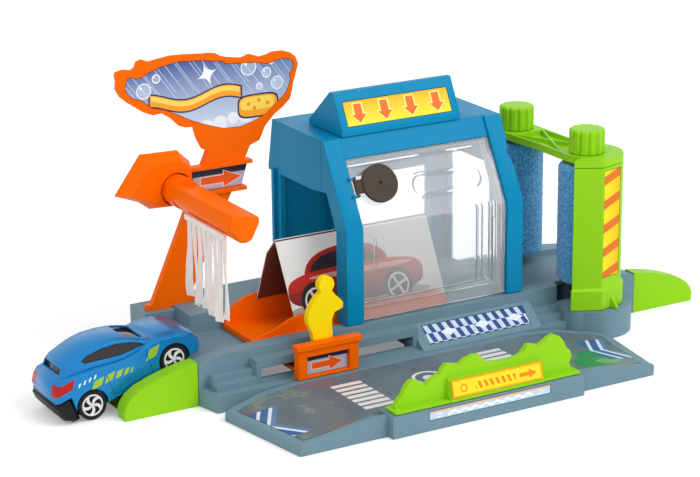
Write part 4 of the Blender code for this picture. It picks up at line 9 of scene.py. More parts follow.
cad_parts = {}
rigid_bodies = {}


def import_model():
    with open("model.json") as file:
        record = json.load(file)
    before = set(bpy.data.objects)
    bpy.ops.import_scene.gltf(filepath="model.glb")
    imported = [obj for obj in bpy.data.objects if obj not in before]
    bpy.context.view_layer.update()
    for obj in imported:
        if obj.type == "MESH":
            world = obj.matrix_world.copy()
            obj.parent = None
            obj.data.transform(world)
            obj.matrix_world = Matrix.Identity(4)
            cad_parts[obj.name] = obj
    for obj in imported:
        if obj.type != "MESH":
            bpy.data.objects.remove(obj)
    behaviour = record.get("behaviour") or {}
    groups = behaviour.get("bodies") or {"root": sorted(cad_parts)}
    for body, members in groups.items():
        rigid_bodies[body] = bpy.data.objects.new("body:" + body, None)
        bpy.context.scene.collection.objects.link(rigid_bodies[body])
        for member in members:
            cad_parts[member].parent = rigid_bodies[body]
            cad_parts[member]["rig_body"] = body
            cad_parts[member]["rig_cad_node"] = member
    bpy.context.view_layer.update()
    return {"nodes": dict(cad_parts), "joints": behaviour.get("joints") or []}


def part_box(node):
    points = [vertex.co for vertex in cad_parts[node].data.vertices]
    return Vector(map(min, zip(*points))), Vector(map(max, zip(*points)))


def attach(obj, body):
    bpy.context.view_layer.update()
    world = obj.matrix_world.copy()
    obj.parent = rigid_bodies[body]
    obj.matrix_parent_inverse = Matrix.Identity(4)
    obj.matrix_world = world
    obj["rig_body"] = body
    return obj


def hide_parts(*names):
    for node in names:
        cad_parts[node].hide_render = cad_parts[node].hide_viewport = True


bl_info = {
    "name": "Car wash playset",
    "version": (1, 0, 0),
    "blender": (4, 5, 0),
    "location": "3D View > Sidebar > Car wash",
    "description": "Dresses a toy car wash playset with its plastics, prints, foam, cloth and metal",
    "category": "Object",
}

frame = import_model()
NODES = frame["nodes"]
JOINTS = {joint["name"]: joint for joint in frame["joints"]}

MM = 0.001
WELD = 0.000004
ACROSS = Vector((1, 0, 0))
DEEP = Vector((0, 1, 0))
UP = Vector((0, 0, 1))
CAR_TILT = math.radians(19)
WHITE = (0.90, 0.92, 0.94)


# Settings
def colour_setting(name, text, value):
    return bpy.props.FloatVectorProperty(name=name, description=text, subtype="COLOR", size=3, default=value)


def length_setting(name, text, value):
    return bpy.props.FloatProperty(name=name, description=text, unit="LENGTH", default=value, min=0.0)


def angle_setting(name, text, degrees):
    value = math.radians(degrees)
    return bpy.props.FloatProperty(name=name, description=text, subtype="ANGLE", default=value)


def plain_setting(name, text, value):
    return bpy.props.FloatProperty(name=name, description=text, default=value)


def count_setting(name, text, value):
    return bpy.props.IntProperty(name=name, description=text, default=value, min=1)


class PlasticSettings(bpy.types.PropertyGroup):
    """Colours of the moulded plastics"""

    slate: colour_setting("Base", "Blue-grey of the road base and forecourt", (0.170, 0.285, 0.345))
    blue: colour_setting("House", "Bright blue of the wash house", (0.000, 0.245, 0.470))
    lime: colour_setting("Ramps and bridge", "Green of ramps, hedge, knobs and bridge", (0.300, 0.660, 0.012))
    orange: colour_setting("Tower and boom", "Orange of tower, boom and tray", (1.000, 0.150, 0.000))
    yellow: colour_setting("Attendant", "Yellow of the figure", (1.000, 0.760, 0.004))
    rounding: length_setting("Edge rounding", "Radius that moulded edges seem to have", 0.00045)
    smoothing: angle_setting("Smooth below", "Faces that meet at less than this share their shading", 32)


class SoftSettings(bpy.types.PropertyGroup):
    """Sizes and colours of the foam sleeves and the hanging strips"""

    foam: colour_setting("Foam", "Blue of the sponge sleeves", (0.052, 0.285, 0.660))
    cell: length_setting("Foam cell", "Width of an open cell of the foam", 0.0007)
    voxel: length_setting("Foam mesh", "Spacing of the foam sleeve's mesh", 0.0007)
    relief: length_setting("Foam relief", "Height of the foam's uneven surface", 0.00045)
    cloth: colour_setting("Strips", "Cream of the cloth strips", (0.920, 0.830, 0.780))
    strips: count_setting("Strip count", "Number of strips", 8)
    slit: length_setting("Slit", "Gap between two strips", 0.0009)
    cloth_thickness: length_setting("Cloth thickness", "Thickness of a strip", 0.0005)
    fold: length_setting("Fold", "How far a strip swings out of line", 0.0011)


class CarSettings(bpy.types.PropertyGroup):
    """Finish of the toy car"""

    enamel: colour_setting("Enamel", "Blue of the car's body", (0.003, 0.215, 0.540))
    rim: colour_setting("Rims", "White of the wheels' rims", (0.80, 0.81, 0.83))
    spokes: count_setting("Spokes", "Curved spokes in a rim", 5)
    spoke_width: length_setting("Spoke width", "Width of a spoke at the rim", 0.0019)
    sweep: angle_setting("Sweep", "How far a spoke turns on its way out", 34)


class StageSettings(bpy.types.PropertyGroup):
    """Camera, floor and light"""

    eye: bpy.props.FloatVectorProperty(
        name="Camera", description="Place of the camera", subtype="TRANSLATION", unit="LENGTH", size=3,
        default=(-0.52220, -0.85493, 0.37556))
    turn: angle_setting("Turn", "Camera's turn about the upright", 29.97)
    fall: angle_setting("Fall", "How far the camera looks down", 17.48)
    roll: angle_setting("Roll", "Camera's roll", -0.58)
    lens: plain_setting("Lens", "Focal length in millimetres", 119.47)
    sky: plain_setting("Sky", "Strength of the even light", 0.74)
    key: plain_setting("Key light", "Power of the main lamp", 10.0)
    fill: plain_setting("Fill light", "Power of the second lamp", 2.2)
    floor: colour_setting("Floor", "Colour of the floor", (0.94, 0.94, 0.95))
    lift: plain_setting("Floor lift", "How much the floor is brightened to read as white", 0.24)


# Modelling by hand
def deselect_all():
    if bpy.context.object and bpy.context.object.mode != "OBJECT":
        bpy.ops.object.mode_set(mode="OBJECT")
    bpy.ops.object.select_all(action="DESELECT")


def make_active(piece):
    deselect_all()
    piece.select_set(True)
    bpy.context.view_layer.objects.active = piece


def apply_modifier(piece, kind, **values):
    make_active(piece)
    modifier = piece.modifiers.new(kind.title(), kind)
    for name, value in values.items():
        setattr(modifier, name, value)
    bpy.ops.object.modifier_apply(modifier=modifier.name)


def apply_place(piece):
    make_active(piece)
    bpy.ops.object.transform_apply(location=True, rotation=True, scale=True)


def outward(piece):
    make_active(piece)
    bpy.ops.object.mode_set(mode="EDIT")
    bpy.ops.mesh.select_all(action="SELECT")
    bpy.ops.mesh.remove_doubles(threshold=WELD)
    bpy.ops.mesh.normals_make_consistent(inside=False)
    bpy.ops.object.mode_set(mode="OBJECT")


def bevel_all(piece, width, segments):
    make_active(piece)
    bpy.ops.object.mode_set(mode="EDIT")
    bpy.ops.mesh.select_all(action="SELECT")
    bpy.ops.mesh.bevel(offset=width, segments=segments)
    bpy.ops.object.mode_set(mode="OBJECT")


def joined(pieces):
    make_active(pieces[0])
    for piece in pieces[1:]:
        piece.select_set(True)
    bpy.ops.object.join()
    return bpy.context.active_object


def paint(piece, finish):
    piece.data.materials.clear()
    piece.data.materials.append(finish)


def settle(piece, name, finish, body, angle=math.radians(32)):
    """Names a new piece, gives it its finish and its body."""
    piece.name = name
    piece.data.name = name
    apply_place(piece)
    if angle:
        bpy.ops.object.shade_smooth_by_angle(angle=angle)
    paint(piece, finish)
    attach(piece, body)
    return piece


def dressed_copy(node, finish, angle):
    """A merged and smoothly shaded copy of a node, which stands for it."""
    source = NODES[node]
    make_active(source)
    bpy.ops.object.duplicate()
    piece = bpy.context.active_object
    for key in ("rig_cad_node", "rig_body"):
        if key in piece:
            del piece[key]
    if piece.data.has_custom_normals:
        bpy.ops.mesh.customdata_custom_splitnormals_clear()
    bpy.ops.object.mode_set(mode="EDIT")
    bpy.ops.mesh.select_all(action="SELECT")
    bpy.ops.mesh.remove_doubles(threshold=WELD)
    bpy.ops.object.mode_set(mode="OBJECT")
    settle(piece, node + "_skin", finish, source["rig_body"], angle)
    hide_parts(node)
    return piece


def finish_node(node, finish):
    paint(NODES[node], finish)


# Node writing
class Pen:
    """Adds nodes to a tree; every method gives back a socket."""

    def __init__(self, tree):
        self.tree = tree
        self.made = {}

    def node(self, kind, *inputs, **values):
        node = self.tree.nodes.new(kind)
        for name, value in values.items():
            setattr(node, name, value)
        for place, value in inputs:
            self.put(node.inputs[place], value)
        return node

    def put(self, socket, value):
        if isinstance(value, bpy.types.NodeSocket):
            self.tree.links.new(value, socket)
        elif socket.type == "RGBA" and len(value) == 3:
            socket.default_value = (*value, 1.0)
        else:
            socket.default_value = value

    def math(self, operation, *values):
        node = self.tree.nodes.new("ShaderNodeMath")
        node.operation = operation
        for place, value in enumerate(values):
            self.put(node.inputs[place], value)
        return node.outputs[0]

    def point(self):
        if "point" not in self.made:
            self.made["point"] = self.node("ShaderNodeTexCoord").outputs["Object"]
        return self.made["point"]

    def along(self, direction, origin=Vector()):
        """Distance of the surface point from the origin along a direction, in millimetres."""
        scaled = Vector(direction) / MM
        node = self.node("ShaderNodeVectorMath", (0, self.point()), (1, scaled), operation="DOT_PRODUCT")
        return self.math("SUBTRACT", node.outputs["Value"], scaled.dot(origin))

    def face(self, node, rise=UP):
        """Place on a flat node, across and up from its low corner, and its two sizes, in millimetres."""
        low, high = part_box(node)
        size = (high - low) / MM
        return self.along(ACROSS, low), self.along(rise, low), size.dot(ACROSS), size.dot(rise)

    def noise(self, scale, detail=2.0, roughness=0.5, stretch=None):
        vector = self.point()
        if stretch:
            mapped = self.node("ShaderNodeMapping", ("Vector", vector), ("Scale", stretch))
            vector = mapped.outputs["Vector"]
        node = self.node("ShaderNodeTexNoise", ("Vector", vector), ("Scale", scale), ("Detail", detail),
                         ("Roughness", roughness))
        return node.outputs["Fac"]

    def remap(self, value, low, high, new_low, new_high):
        node = self.node("ShaderNodeMapRange", ("Value", value), ("From Min", low), ("From Max", high),
                         ("To Min", new_low), ("To Max", new_high))
        return node.outputs["Result"]

    def mix(self, share, first, second, how="MIX"):
        node = self.node("ShaderNodeMix", data_type="RGBA", blend_type=how)
        self.put(node.inputs["Factor"], share)
        self.put(node.inputs[6], first)
        self.put(node.inputs[7], second)
        return node.outputs[2]

    def layers(self, colour, *coats):
        """Lays tints over a colour, each where its mask is one."""
        for mask, tint in coats:
            colour = self.mix(mask, colour, tint)
        return colour

    def bump(self, height, distance, strength=1.0, normal=None):
        node = self.node("ShaderNodeBump", ("Height", height), ("Distance", distance), ("Strength", strength))
        if normal:
            self.put(node.inputs["Normal"], normal)
        return node.outputs["Normal"]

    def group(self, group, **values):
        node = self.tree.nodes.new("ShaderNodeGroup")
        node.node_tree = group
        for name, value in values.items():
            self.put(node.inputs[name.replace("_", " ")], value)
        return node.outputs

    # Print masks, one inside and nought outside
    def above(self, value, limit):
        return self.math("GREATER_THAN", value, limit)

    def below(self, value, limit):
        return self.math("LESS_THAN", value, limit)

    def both(self, *masks):
        found = masks[0]
        for mask in masks[1:]:
            found = self.math("MULTIPLY", found, mask)
        return found

    def either(self, *masks):
        found = masks[0]
        for mask in masks[1:]:
            found = self.math("MAXIMUM", found, mask)
        return found

    def band(self, value, low, high):
        return self.both(self.above(value, low), self.below(value, high))

    def mixture(self, first, first_share, second, second_share):
        return self.math("MULTIPLY_ADD", first, first_share, self.math("MULTIPLY", second, second_share))

    def distance(self, u, v, centre, squash=1.0):
        x = self.math("SUBTRACT", u, centre[0])
        y = self.math("MULTIPLY", self.math("SUBTRACT", v, centre[1]), squash)
        return self.math("SQRT", self.math("MULTIPLY_ADD", x, x, self.math("MULTIPLY", y, y)))

    def disc(self, u, v, centre, radius, squash=1.0):
        return self.below(self.distance(u, v, centre, squash), radius)

    def ring(self, u, v, centre, radius, width):
        return self.band(self.distance(u, v, centre), radius - width / 2, radius + width / 2)

    def blob(self, u, v, centre, reach, rise, power=2.4):
        """Inside of a rounded box, fuller with a higher power."""
        shares = [self.mixture(value, 1 / half, 1.0, -middle / half)
                  for value, middle, half in ((u, centre[0], reach), (v, centre[1], rise))]
        x, y = [self.math("POWER", self.math("ABSOLUTE", share), power) for share in shares]
        return self.below(self.math("ADD", x, y), 1.0)

    def ridge(self, value, place, half):
        """One on a line and nought beside it, with a straight fall between."""
        away = self.math("ABSOLUTE", self.math("SUBTRACT", value, place))
        return self.remap(away, 0.0, half, 1.0, 0.0)

    def lozenge(self, u, v, left, right, middle):
        """Distance from a level line between two places."""
        x = self.math("MAXIMUM", self.math("SUBTRACT", left, u), self.math("SUBTRACT", u, right))
        x = self.math("MAXIMUM", x, 0.0)
        y = self.math("SUBTRACT", v, middle)
        return self.math("SQRT", self.math("MULTIPLY_ADD", x, x, self.math("MULTIPLY", y, y)))

    def repeated(self, value, pitch, start=0.0):
        """The place within one of many equal steps."""
        return self.math("FLOORED_MODULO", self.math("SUBTRACT", value, start), pitch)

    def arrow(self, u, v, tail, tip, half, neck, shaft):
        """An arrow along u, with its head from neck to tip."""
        reach = self.math("ABSOLUTE", v)
        slope = half / (tip - neck)
        head = self.both(self.above(u, neck), self.below(self.mixture(u, slope, reach, 1.0), tip * slope))
        return self.either(head, self.both(self.band(u, tail, neck + MM), self.below(reach, shaft)))


def new_group(name, inputs, outputs):
    group = bpy.data.node_groups.new(name, "ShaderNodeTree")
    for label, kind, value in inputs:
        socket = group.interface.new_socket(name=label, in_out="INPUT", socket_type=kind)
        if value is not None:
            socket.default_value = value
    for label, kind in outputs:
        group.interface.new_socket(name=label, in_out="OUTPUT", socket_type=kind)
    pen = Pen(group)
    return group, pen, group.nodes.new("NodeGroupInput").outputs, group.nodes.new("NodeGroupOutput").inputs


def moulded_group():
    """Moulded plastic: rounded edges, fine grain, slight colour drift and handling marks."""
    found = bpy.data.node_groups.get("moulded_surface")
    if found:
        return found
    group, pen, given, out = new_group(
        "moulded_surface",
        [("Colour", "NodeSocketColor", (0.5, 0.5, 0.5, 1.0)), ("Roughness", "NodeSocketFloat", 0.3),
         ("Grain", "NodeSocketFloat", 0.00002), ("Rounding", "NodeSocketFloat", 0.0004),
         ("Drift", "NodeSocketFloat", 0.05)],
        [("Colour", "NodeSocketColor"), ("Roughness", "NodeSocketFloat"), ("Normal", "NodeSocketVector")])
    broad = pen.noise(42.0, 3.0)
    fine = pen.noise(2600.0, 2.0)
    marks = pen.noise(120.0, 4.0, 0.6)
    darker = pen.mix(1.0, given["Colour"], (0.72, 0.74, 0.78), "MULTIPLY")
    share = pen.math("MULTIPLY", pen.remap(broad, 0.3, 0.7, 0.0, 1.0), given["Drift"])
    pen.put(out["Colour"], pen.mix(share, given["Colour"], darker))
    rub = pen.remap(marks, 0.35, 0.70, -0.03, 0.04)
    pen.put(out["Roughness"], pen.math("ADD", pen.math("ADD", given["Roughness"], rub),
                                       pen.remap(fine, 0.3, 0.7, -0.02, 0.02)))
    rounded = pen.node("ShaderNodeBevel", ("Radius", given["Rounding"]), samples=6).outputs["Normal"]
    pen.put(out["Normal"], pen.bump(fine, given["Grain"], 1.0, rounded))
    return group


def bare_material(name):
    finish = bpy.data.materials.new(name)
    finish.use_nodes = True
    tree = finish.node_tree
    shader = next(node for node in tree.nodes if node.type == "BSDF_PRINCIPLED")
    return finish, Pen(tree), shader


def lay_on(pen, shader, outputs, **fixed):
    pen.put(shader.inputs["Base Color"], outputs["Colour"])
    pen.put(shader.inputs["Roughness"], outputs["Roughness"])
    pen.put(shader.inputs["Normal"], outputs["Normal"])
    for name, value in fixed.items():
        shader.inputs[name.replace("_", " ")].default_value = value


def plastic(name, colour, roughness, coat=0.0, grain=0.00002, drift=0.05, rounding=0.00045):
    finish, pen, shader = bare_material(name)
    outputs = pen.group(moulded_group(), Colour=tuple(colour), Roughness=roughness, Grain=grain, Drift=drift,
                        Rounding=rounding)
    lay_on(pen, shader, outputs, Coat_Weight=coat, Coat_Roughness=0.12, IOR=1.49, Specular_IOR_Level=0.10)
    return finish


def printed(name, draw, roughness=0.30):
    """A glossy printed film; draw gives back the print's colour."""
    finish, pen, shader = bare_material(name)
    outputs = pen.group(moulded_group(), Colour=draw(pen), Roughness=roughness, Grain=0.000006, Drift=0.05,
                        Rounding=0.0001)
    lay_on(pen, shader, outputs, Specular_IOR_Level=0.18)
    return finish


# Stage
class PLAYSET_OT_stage(bpy.types.Operator):
    """Sets the camera, the pale floor and the soft studio light"""

    bl_idname = "playset.stage"
    bl_label = "Stage"

    def execute(self, context):
        stage = context.scene.playset_stage
        level_reach = math.cos(stage.fall)
        forward = Vector((math.sin(stage.turn) * level_reach, math.cos(stage.turn) * level_reach,
                          -math.sin(stage.fall)))
        level = Vector((math.cos(stage.turn), -math.sin(stage.turn), 0))
        rise = level.cross(forward)
        right = math.cos(stage.roll) * level + math.sin(stage.roll) * rise
        top = math.cos(stage.roll) * rise - math.sin(stage.roll) * level
        bpy.ops.object.camera_add()
        camera = context.active_object
        camera.name = "photo_camera"
        turn = Matrix((right, top, -forward)).transposed().to_4x4()
        camera.matrix_world = Matrix.Translation(Vector(stage.eye)) @ turn
        camera.data.lens = stage.lens
        camera.data.sensor_width = 36.0
        camera.data.clip_start = 0.05
        camera.data.clip_end = 20.0
        context.scene.camera = camera
        self.floor(stage)
        self.world(context, stage)
        self.lamp("key_lamp", (0.55, -0.95, 1.15), 1.1, stage.key)
        self.lamp("fill_lamp", (-1.1, -0.5, 0.9), 1.3, stage.fill)
        context.scene.view_settings.view_transform = "Standard"
        return {"FINISHED"}

    def floor(self, stage):
        deselect_all()
        below_rest = (0, 0, -0.1 * MM)
        bpy.ops.mesh.primitive_grid_add(x_subdivisions=4, y_subdivisions=4, size=12.0, location=below_rest)
        floor = bpy.context.active_object
        finish, pen, shader = bare_material("studio_floor")
        mottle = pen.noise(3.0, 2.0)
        share = pen.remap(mottle, 0.3, 0.7, 0.0, 0.3)
        pen.put(shader.inputs["Base Color"], pen.mix(share, tuple(stage.floor), (0.95, 0.95, 0.95)))
        shader.inputs["Roughness"].default_value = 0.75
        shader.inputs["Specular IOR Level"].default_value = 0.15
        pen.put(shader.inputs["Emission Color"], pen.mix(self.seen(pen), (0.0, 0.0, 0.0), (1.0, 1.0, 1.0)))
        shader.inputs["Emission Strength"].default_value = stage.lift
        settle_stage(floor, "studio_floor", finish)

    def seen(self, pen):
        """One on rays that come straight, mirrored or through glass from the camera."""
        path = pen.node("ShaderNodeLightPath").outputs
        return pen.either(path["Is Camera Ray"], path["Is Glossy Ray"], path["Is Transmission Ray"])

    def world(self, context, stage):
        world = bpy.data.worlds.new("studio_sky")
        context.scene.world = world
        world.use_nodes = True
        pen = Pen(world.node_tree)
        sky = next(node for node in world.node_tree.nodes if node.type == "BACKGROUND")
        sky.inputs["Color"].default_value = (1.0, 1.0, 1.0, 1.0)
        pen.put(sky.inputs["Strength"], pen.remap(self.seen(pen), 0.0, 1.0, stage.sky, 1.0))

    def lamp(self, name, place, size, power):
        bpy.ops.object.light_add(type="AREA", location=place)
        lamp = bpy.context.active_object
        lamp.name = name
        lamp.data.shape = "DISK"
        lamp.data.size = size
        lamp.data.energy = power
        lamp.rotation_euler = (Vector((0, 0, 0.05)) - Vector(place)).to_track_quat("-Z", "Y").to_euler()


def settle_stage(piece, name, finish):
    piece.name = name
    apply_place(piece)
    paint(piece, finish)


# Plastics
class PLAYSET_OT_base(bpy.types.Operator):
    """Finishes the road base and both ramps"""

    bl_idname = "playset.base"
    bl_label = "Base and ramps"

    def execute(self, context):
        plastics = context.scene.playset_plastics
        slate = plastic("slate_plastic", plastics.slate, 0.42, grain=0.00003, rounding=plastics.rounding)
        lime = plastic("lime_plastic", plastics.lime, 0.34, rounding=plastics.rounding)
        dressed_copy("base_shell", slate, plastics.smoothing)
        dressed_copy("forecourt", slate, plastics.smoothing)
        for node in ("entry_ramp", "exit_ramp", "hedge", "roller_bridge", "roller_column",
                     "front_roller_knob", "back_roller_knob", "front_roller_shaft", "back_roller_shaft"):
            dressed_copy(node, lime, plastics.smoothing)
        return {"FINISHED"}


class PLAYSET_OT_house(bpy.types.Operator):
    """Finishes the wash house, its sign box, window and filler cap"""

    bl_idname = "playset.house"
    bl_label = "Wash house"

    def execute(self, context):
        plastics = context.scene.playset_plastics
        blue = plastic("blue_plastic", plastics.blue, 0.34, rounding=plastics.rounding)
        for node in ("house_front", "house_rear", "roof_hood"):
            dressed_copy(node, blue, plastics.smoothing)
        dressed_copy("water_window", self.clear(), math.radians(20))
        rubber = plastic("brown_rubber", (0.075, 0.055, 0.042), 0.62, grain=0.00004, rounding=0.0003)
        dressed_copy("filler_cap", rubber, plastics.smoothing)
        return {"FINISHED"}

    def clear(self):
        finish, pen, shader = bare_material("clear_plastic")
        outputs = pen.group(moulded_group(), Colour=(0.96, 0.97, 0.97), Roughness=0.06, Grain=0.00001,
                            Drift=0.04, Rounding=0.0005)
        lay_on(pen, shader, outputs, Transmission_Weight=0.80, IOR=1.25, Coat_Weight=0.2, Coat_Roughness=0.05)
        pen.put(shader.inputs["Normal"], pen.bump(self.ridges(pen), 0.0005, 0.8, outputs["Normal"]))
        return finish

    def ridges(self, pen):
        """Steps moulded along the right and lower edge of the window, and a raised tab over them."""
        u, v, wide, tall = pen.face("water_window")
        upright = [pen.ridge(u, wide - inset, 0.7) for inset in (15.4, 12.4, 8.6, 5.2)]
        level = [pen.ridge(v, height, 0.6) for height in (8.4, 5.8)]
        sides = pen.both(pen.either(*upright), pen.band(v, 8.4, 45.0))
        foot = pen.both(pen.either(*level), pen.below(u, wide - 9.0))
        tab = pen.ridge(pen.lozenge(u, v, 36.0, 64.0, 56.5), 4.2, 1.3)
        shelf = pen.both(pen.ridge(v, 69.0, 0.9), pen.below(u, wide - 9.0))
        return pen.either(sides, foot, tab, shelf)


class PLAYSET_OT_tower(bpy.types.Operator):
    """Finishes the tower, the boom and the sliding tray with its arm"""

    bl_idname = "playset.tower"
    bl_label = "Tower, boom and tray"

    def execute(self, context):
        plastics = context.scene.playset_plastics
        orange = plastic("orange_plastic", plastics.orange, 0.34, rounding=plastics.rounding)
        shader = next(node for node in orange.node_tree.nodes if node.type == "BSDF_PRINCIPLED")
        shader.inputs["Subsurface Weight"].default_value = 0.20
        shader.inputs["Specular IOR Level"].default_value = 0.06
        shader.inputs["Subsurface Radius"].default_value = (0.004, 0.0012, 0.0002)
        for node in ("tower", "boom", "carriage_tray", "carriage_arm"):
            dressed_copy(node, orange, plastics.smoothing)
        steel = self.steel()
        for node in ("boom_screw", "carriage_screw", "car_front_axle", "car_rear_axle"):
            dressed_copy(node, steel, plastics.smoothing)
        yellow = plastic("yellow_plastic", plastics.yellow, 0.38, rounding=plastics.rounding)
        dressed_copy("attendant", yellow, plastics.smoothing)
        return {"FINISHED"}

    def steel(self):
        finish, pen, shader = bare_material("screw_steel")
        outputs = pen.group(moulded_group(), Colour=(0.56, 0.57, 0.58), Roughness=0.34, Grain=0.00001,
                            Drift=0.3, Rounding=0.0002)
        lay_on(pen, shader, outputs, Metallic=1.0)
        return finish


# Foam
class PLAYSET_OT_foam(bpy.types.Operator):
    """Makes the two sponge sleeves of the rollers"""

    bl_idname = "playset.foam"
    bl_label = "Foam rollers"

    def execute(self, context):
        soft = context.scene.playset_soft
        sponge = self.sponge(soft)
        for side in ("front", "back"):
            node = side + "_roller_foam"
            sleeve = dressed_copy(node, sponge, 0)
            sleeve.name = side + "_sponge_sleeve"
            apply_modifier(sleeve, "REMESH", mode="VOXEL", voxel_size=soft.voxel, use_smooth_shade=True)
            apply_modifier(sleeve, "DISPLACE", texture=self.relief(), texture_coords="LOCAL", mid_level=0.62,
                           strength=soft.relief)
            paint(sleeve, sponge)
        return {"FINISHED"}

    def relief(self):
        found = bpy.data.textures.get("sponge_relief")
        if not found:
            found = bpy.data.textures.new("sponge_relief", "CLOUDS")
            found.noise_scale = 0.0016
            found.noise_depth = 2
        return found

    def sponge(self, soft):
        finish, pen, shader = bare_material("blue_foam")
        cells = pen.node("ShaderNodeTexVoronoi", ("Vector", pen.point()), ("Scale", 1 / soft.cell),
                         feature="F1").outputs["Distance"]
        lumps = pen.noise(900.0, 3.0, 0.7)
        # The foam's mottle follows its relief: painted shade darkens the cell pits and a painted lighter tone
        # brightens the raised lumps, over the foam's own cell pattern
        light = tuple(min(1.0, channel * 2.1 + 0.04) for channel in soft.foam)
        dark = tuple(channel * 0.55 for channel in soft.foam)
        colour = pen.mix(pen.remap(cells, 0.15, 0.75, 0.0, 0.75), tuple(soft.foam), dark)
        colour = pen.mix(pen.remap(lumps, 0.44, 0.66, 0.0, 0.85), colour, light)
        pen.put(shader.inputs["Base Color"], colour)
        pen.put(shader.inputs["Roughness"], pen.remap(lumps, 0.3, 0.7, 0.85, 1.0))
        height = pen.math("SUBTRACT", lumps, pen.math("MULTIPLY", cells, 0.8))
        pen.put(shader.inputs["Normal"], pen.bump(height, 0.0004, 0.9))
        shader.inputs["Sheen Weight"].default_value = 0.35
        shader.inputs["Sheen Roughness"].default_value = 0.6
        shader.inputs["Specular IOR Level"].default_value = 0.15
        return finish


# Cloth
class PLAYSET_OT_strips(bpy.types.Operator):
    """Hangs the cloth strips on their rail under the boom"""

    bl_idname = "playset.strips"
    bl_label = "Hanging strips"

    drops = (0.985, 1.05, 0.97, 1.04, 1.00, 0.99, 1.03, 0.95)
    phases = (0.10, 0.62, 0.35, 0.85, 0.20, 0.55, 0.05, 0.70)

    def execute(self, context):
        soft = context.scene.playset_soft
        low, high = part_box("wash_curtain")
        head = high.z - 1.9 * MM
        drop = (head - low.z) / max(self.drops) - 0.3 * MM
        pitch = (high.y - low.y + soft.slit) / soft.strips
        middle = (low.x + high.x) / 2 + 0.4 * MM
        cloth = self.cloth(soft)
        strips = []
        for count in range(soft.strips):
            width = pitch - soft.slit
            strips.append(self.strip(middle, low.y + count * pitch, width, head, drop, count, soft))
        curtain = settle(joined(strips), "cloth_strips", cloth, "boom", math.radians(60))
        width = pitch - soft.slit
        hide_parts("wash_curtain")
        rail = self.rail(low, high, middle)
        settle(rail, "strip_rail", cloth, "boom")
        return {"FINISHED"}

    def strip(self, middle, front, width, head, drop, count, soft):
        deselect_all()
        bpy.ops.mesh.primitive_grid_add(x_subdivisions=6, y_subdivisions=28, size=1.0)
        strip = bpy.context.active_object
        phase = self.phases[count % len(self.phases)]
        long = drop * self.drops[count % len(self.drops)]
        for vertex in strip.data.vertices:
            share = 0.5 - vertex.co.y
            side = vertex.co.x
            turn = math.radians(34) * math.sin(math.pi * (share + phase)) * share
            sway = soft.fold * math.sin(math.tau * (share * 0.8 + phase)) * share
            bow = soft.fold * 0.6 * math.sin(math.pi * (share + phase)) * share
            ripple = 0.12 * MM * math.sin(math.tau * (3.1 * share + phase) + 5 * side) * share
            cup = 0.5 * MM * (1 - 4 * side * side) * share
            vertex.co = (middle + bow + ripple + cup + math.sin(turn) * side * width,
                         front + width / 2 + sway + math.cos(turn) * side * width, head - long * share)
        apply_modifier(strip, "SOLIDIFY", thickness=soft.cloth_thickness, offset=0.0)
        return strip

    def rail(self, low, high, middle):
        deselect_all()
        place = (middle - 0.6 * MM, (low.y + high.y) / 2, high.z - 1.5 * MM)
        bpy.ops.mesh.primitive_cube_add(size=1.0, location=place)
        rail = bpy.context.active_object
        rail.scale = (2.0 * MM, high.y - low.y, 2.6 * MM)
        apply_place(rail)
        bevel_all(rail, 0.4 * MM, 3)
        return rail

    def cloth(self, soft):
        finish, pen, shader = bare_material("cream_cloth")
        fibre = pen.noise(1500.0, 4.0, 0.7, (1.0, 1.0, 0.12))
        weave = pen.noise(4200.0, 2.0)
        shade = tuple(channel * 0.86 for channel in soft.cloth)
        share = pen.remap(fibre, 0.35, 0.7, 0.0, 1.0)
        pen.put(shader.inputs["Base Color"], pen.mix(share, tuple(soft.cloth), shade))
        pen.put(shader.inputs["Roughness"], pen.remap(weave, 0.3, 0.7, 0.8, 0.95))
        pen.put(shader.inputs["Normal"], pen.bump(pen.math("ADD", fibre, weave), 0.00012, 0.6))
        shader.inputs["Sheen Weight"].default_value = 0.3
        shader.inputs["Subsurface Weight"].default_value = 0.15
        shader.inputs["Subsurface Radius"].default_value = (0.002, 0.002, 0.002)
        return finish


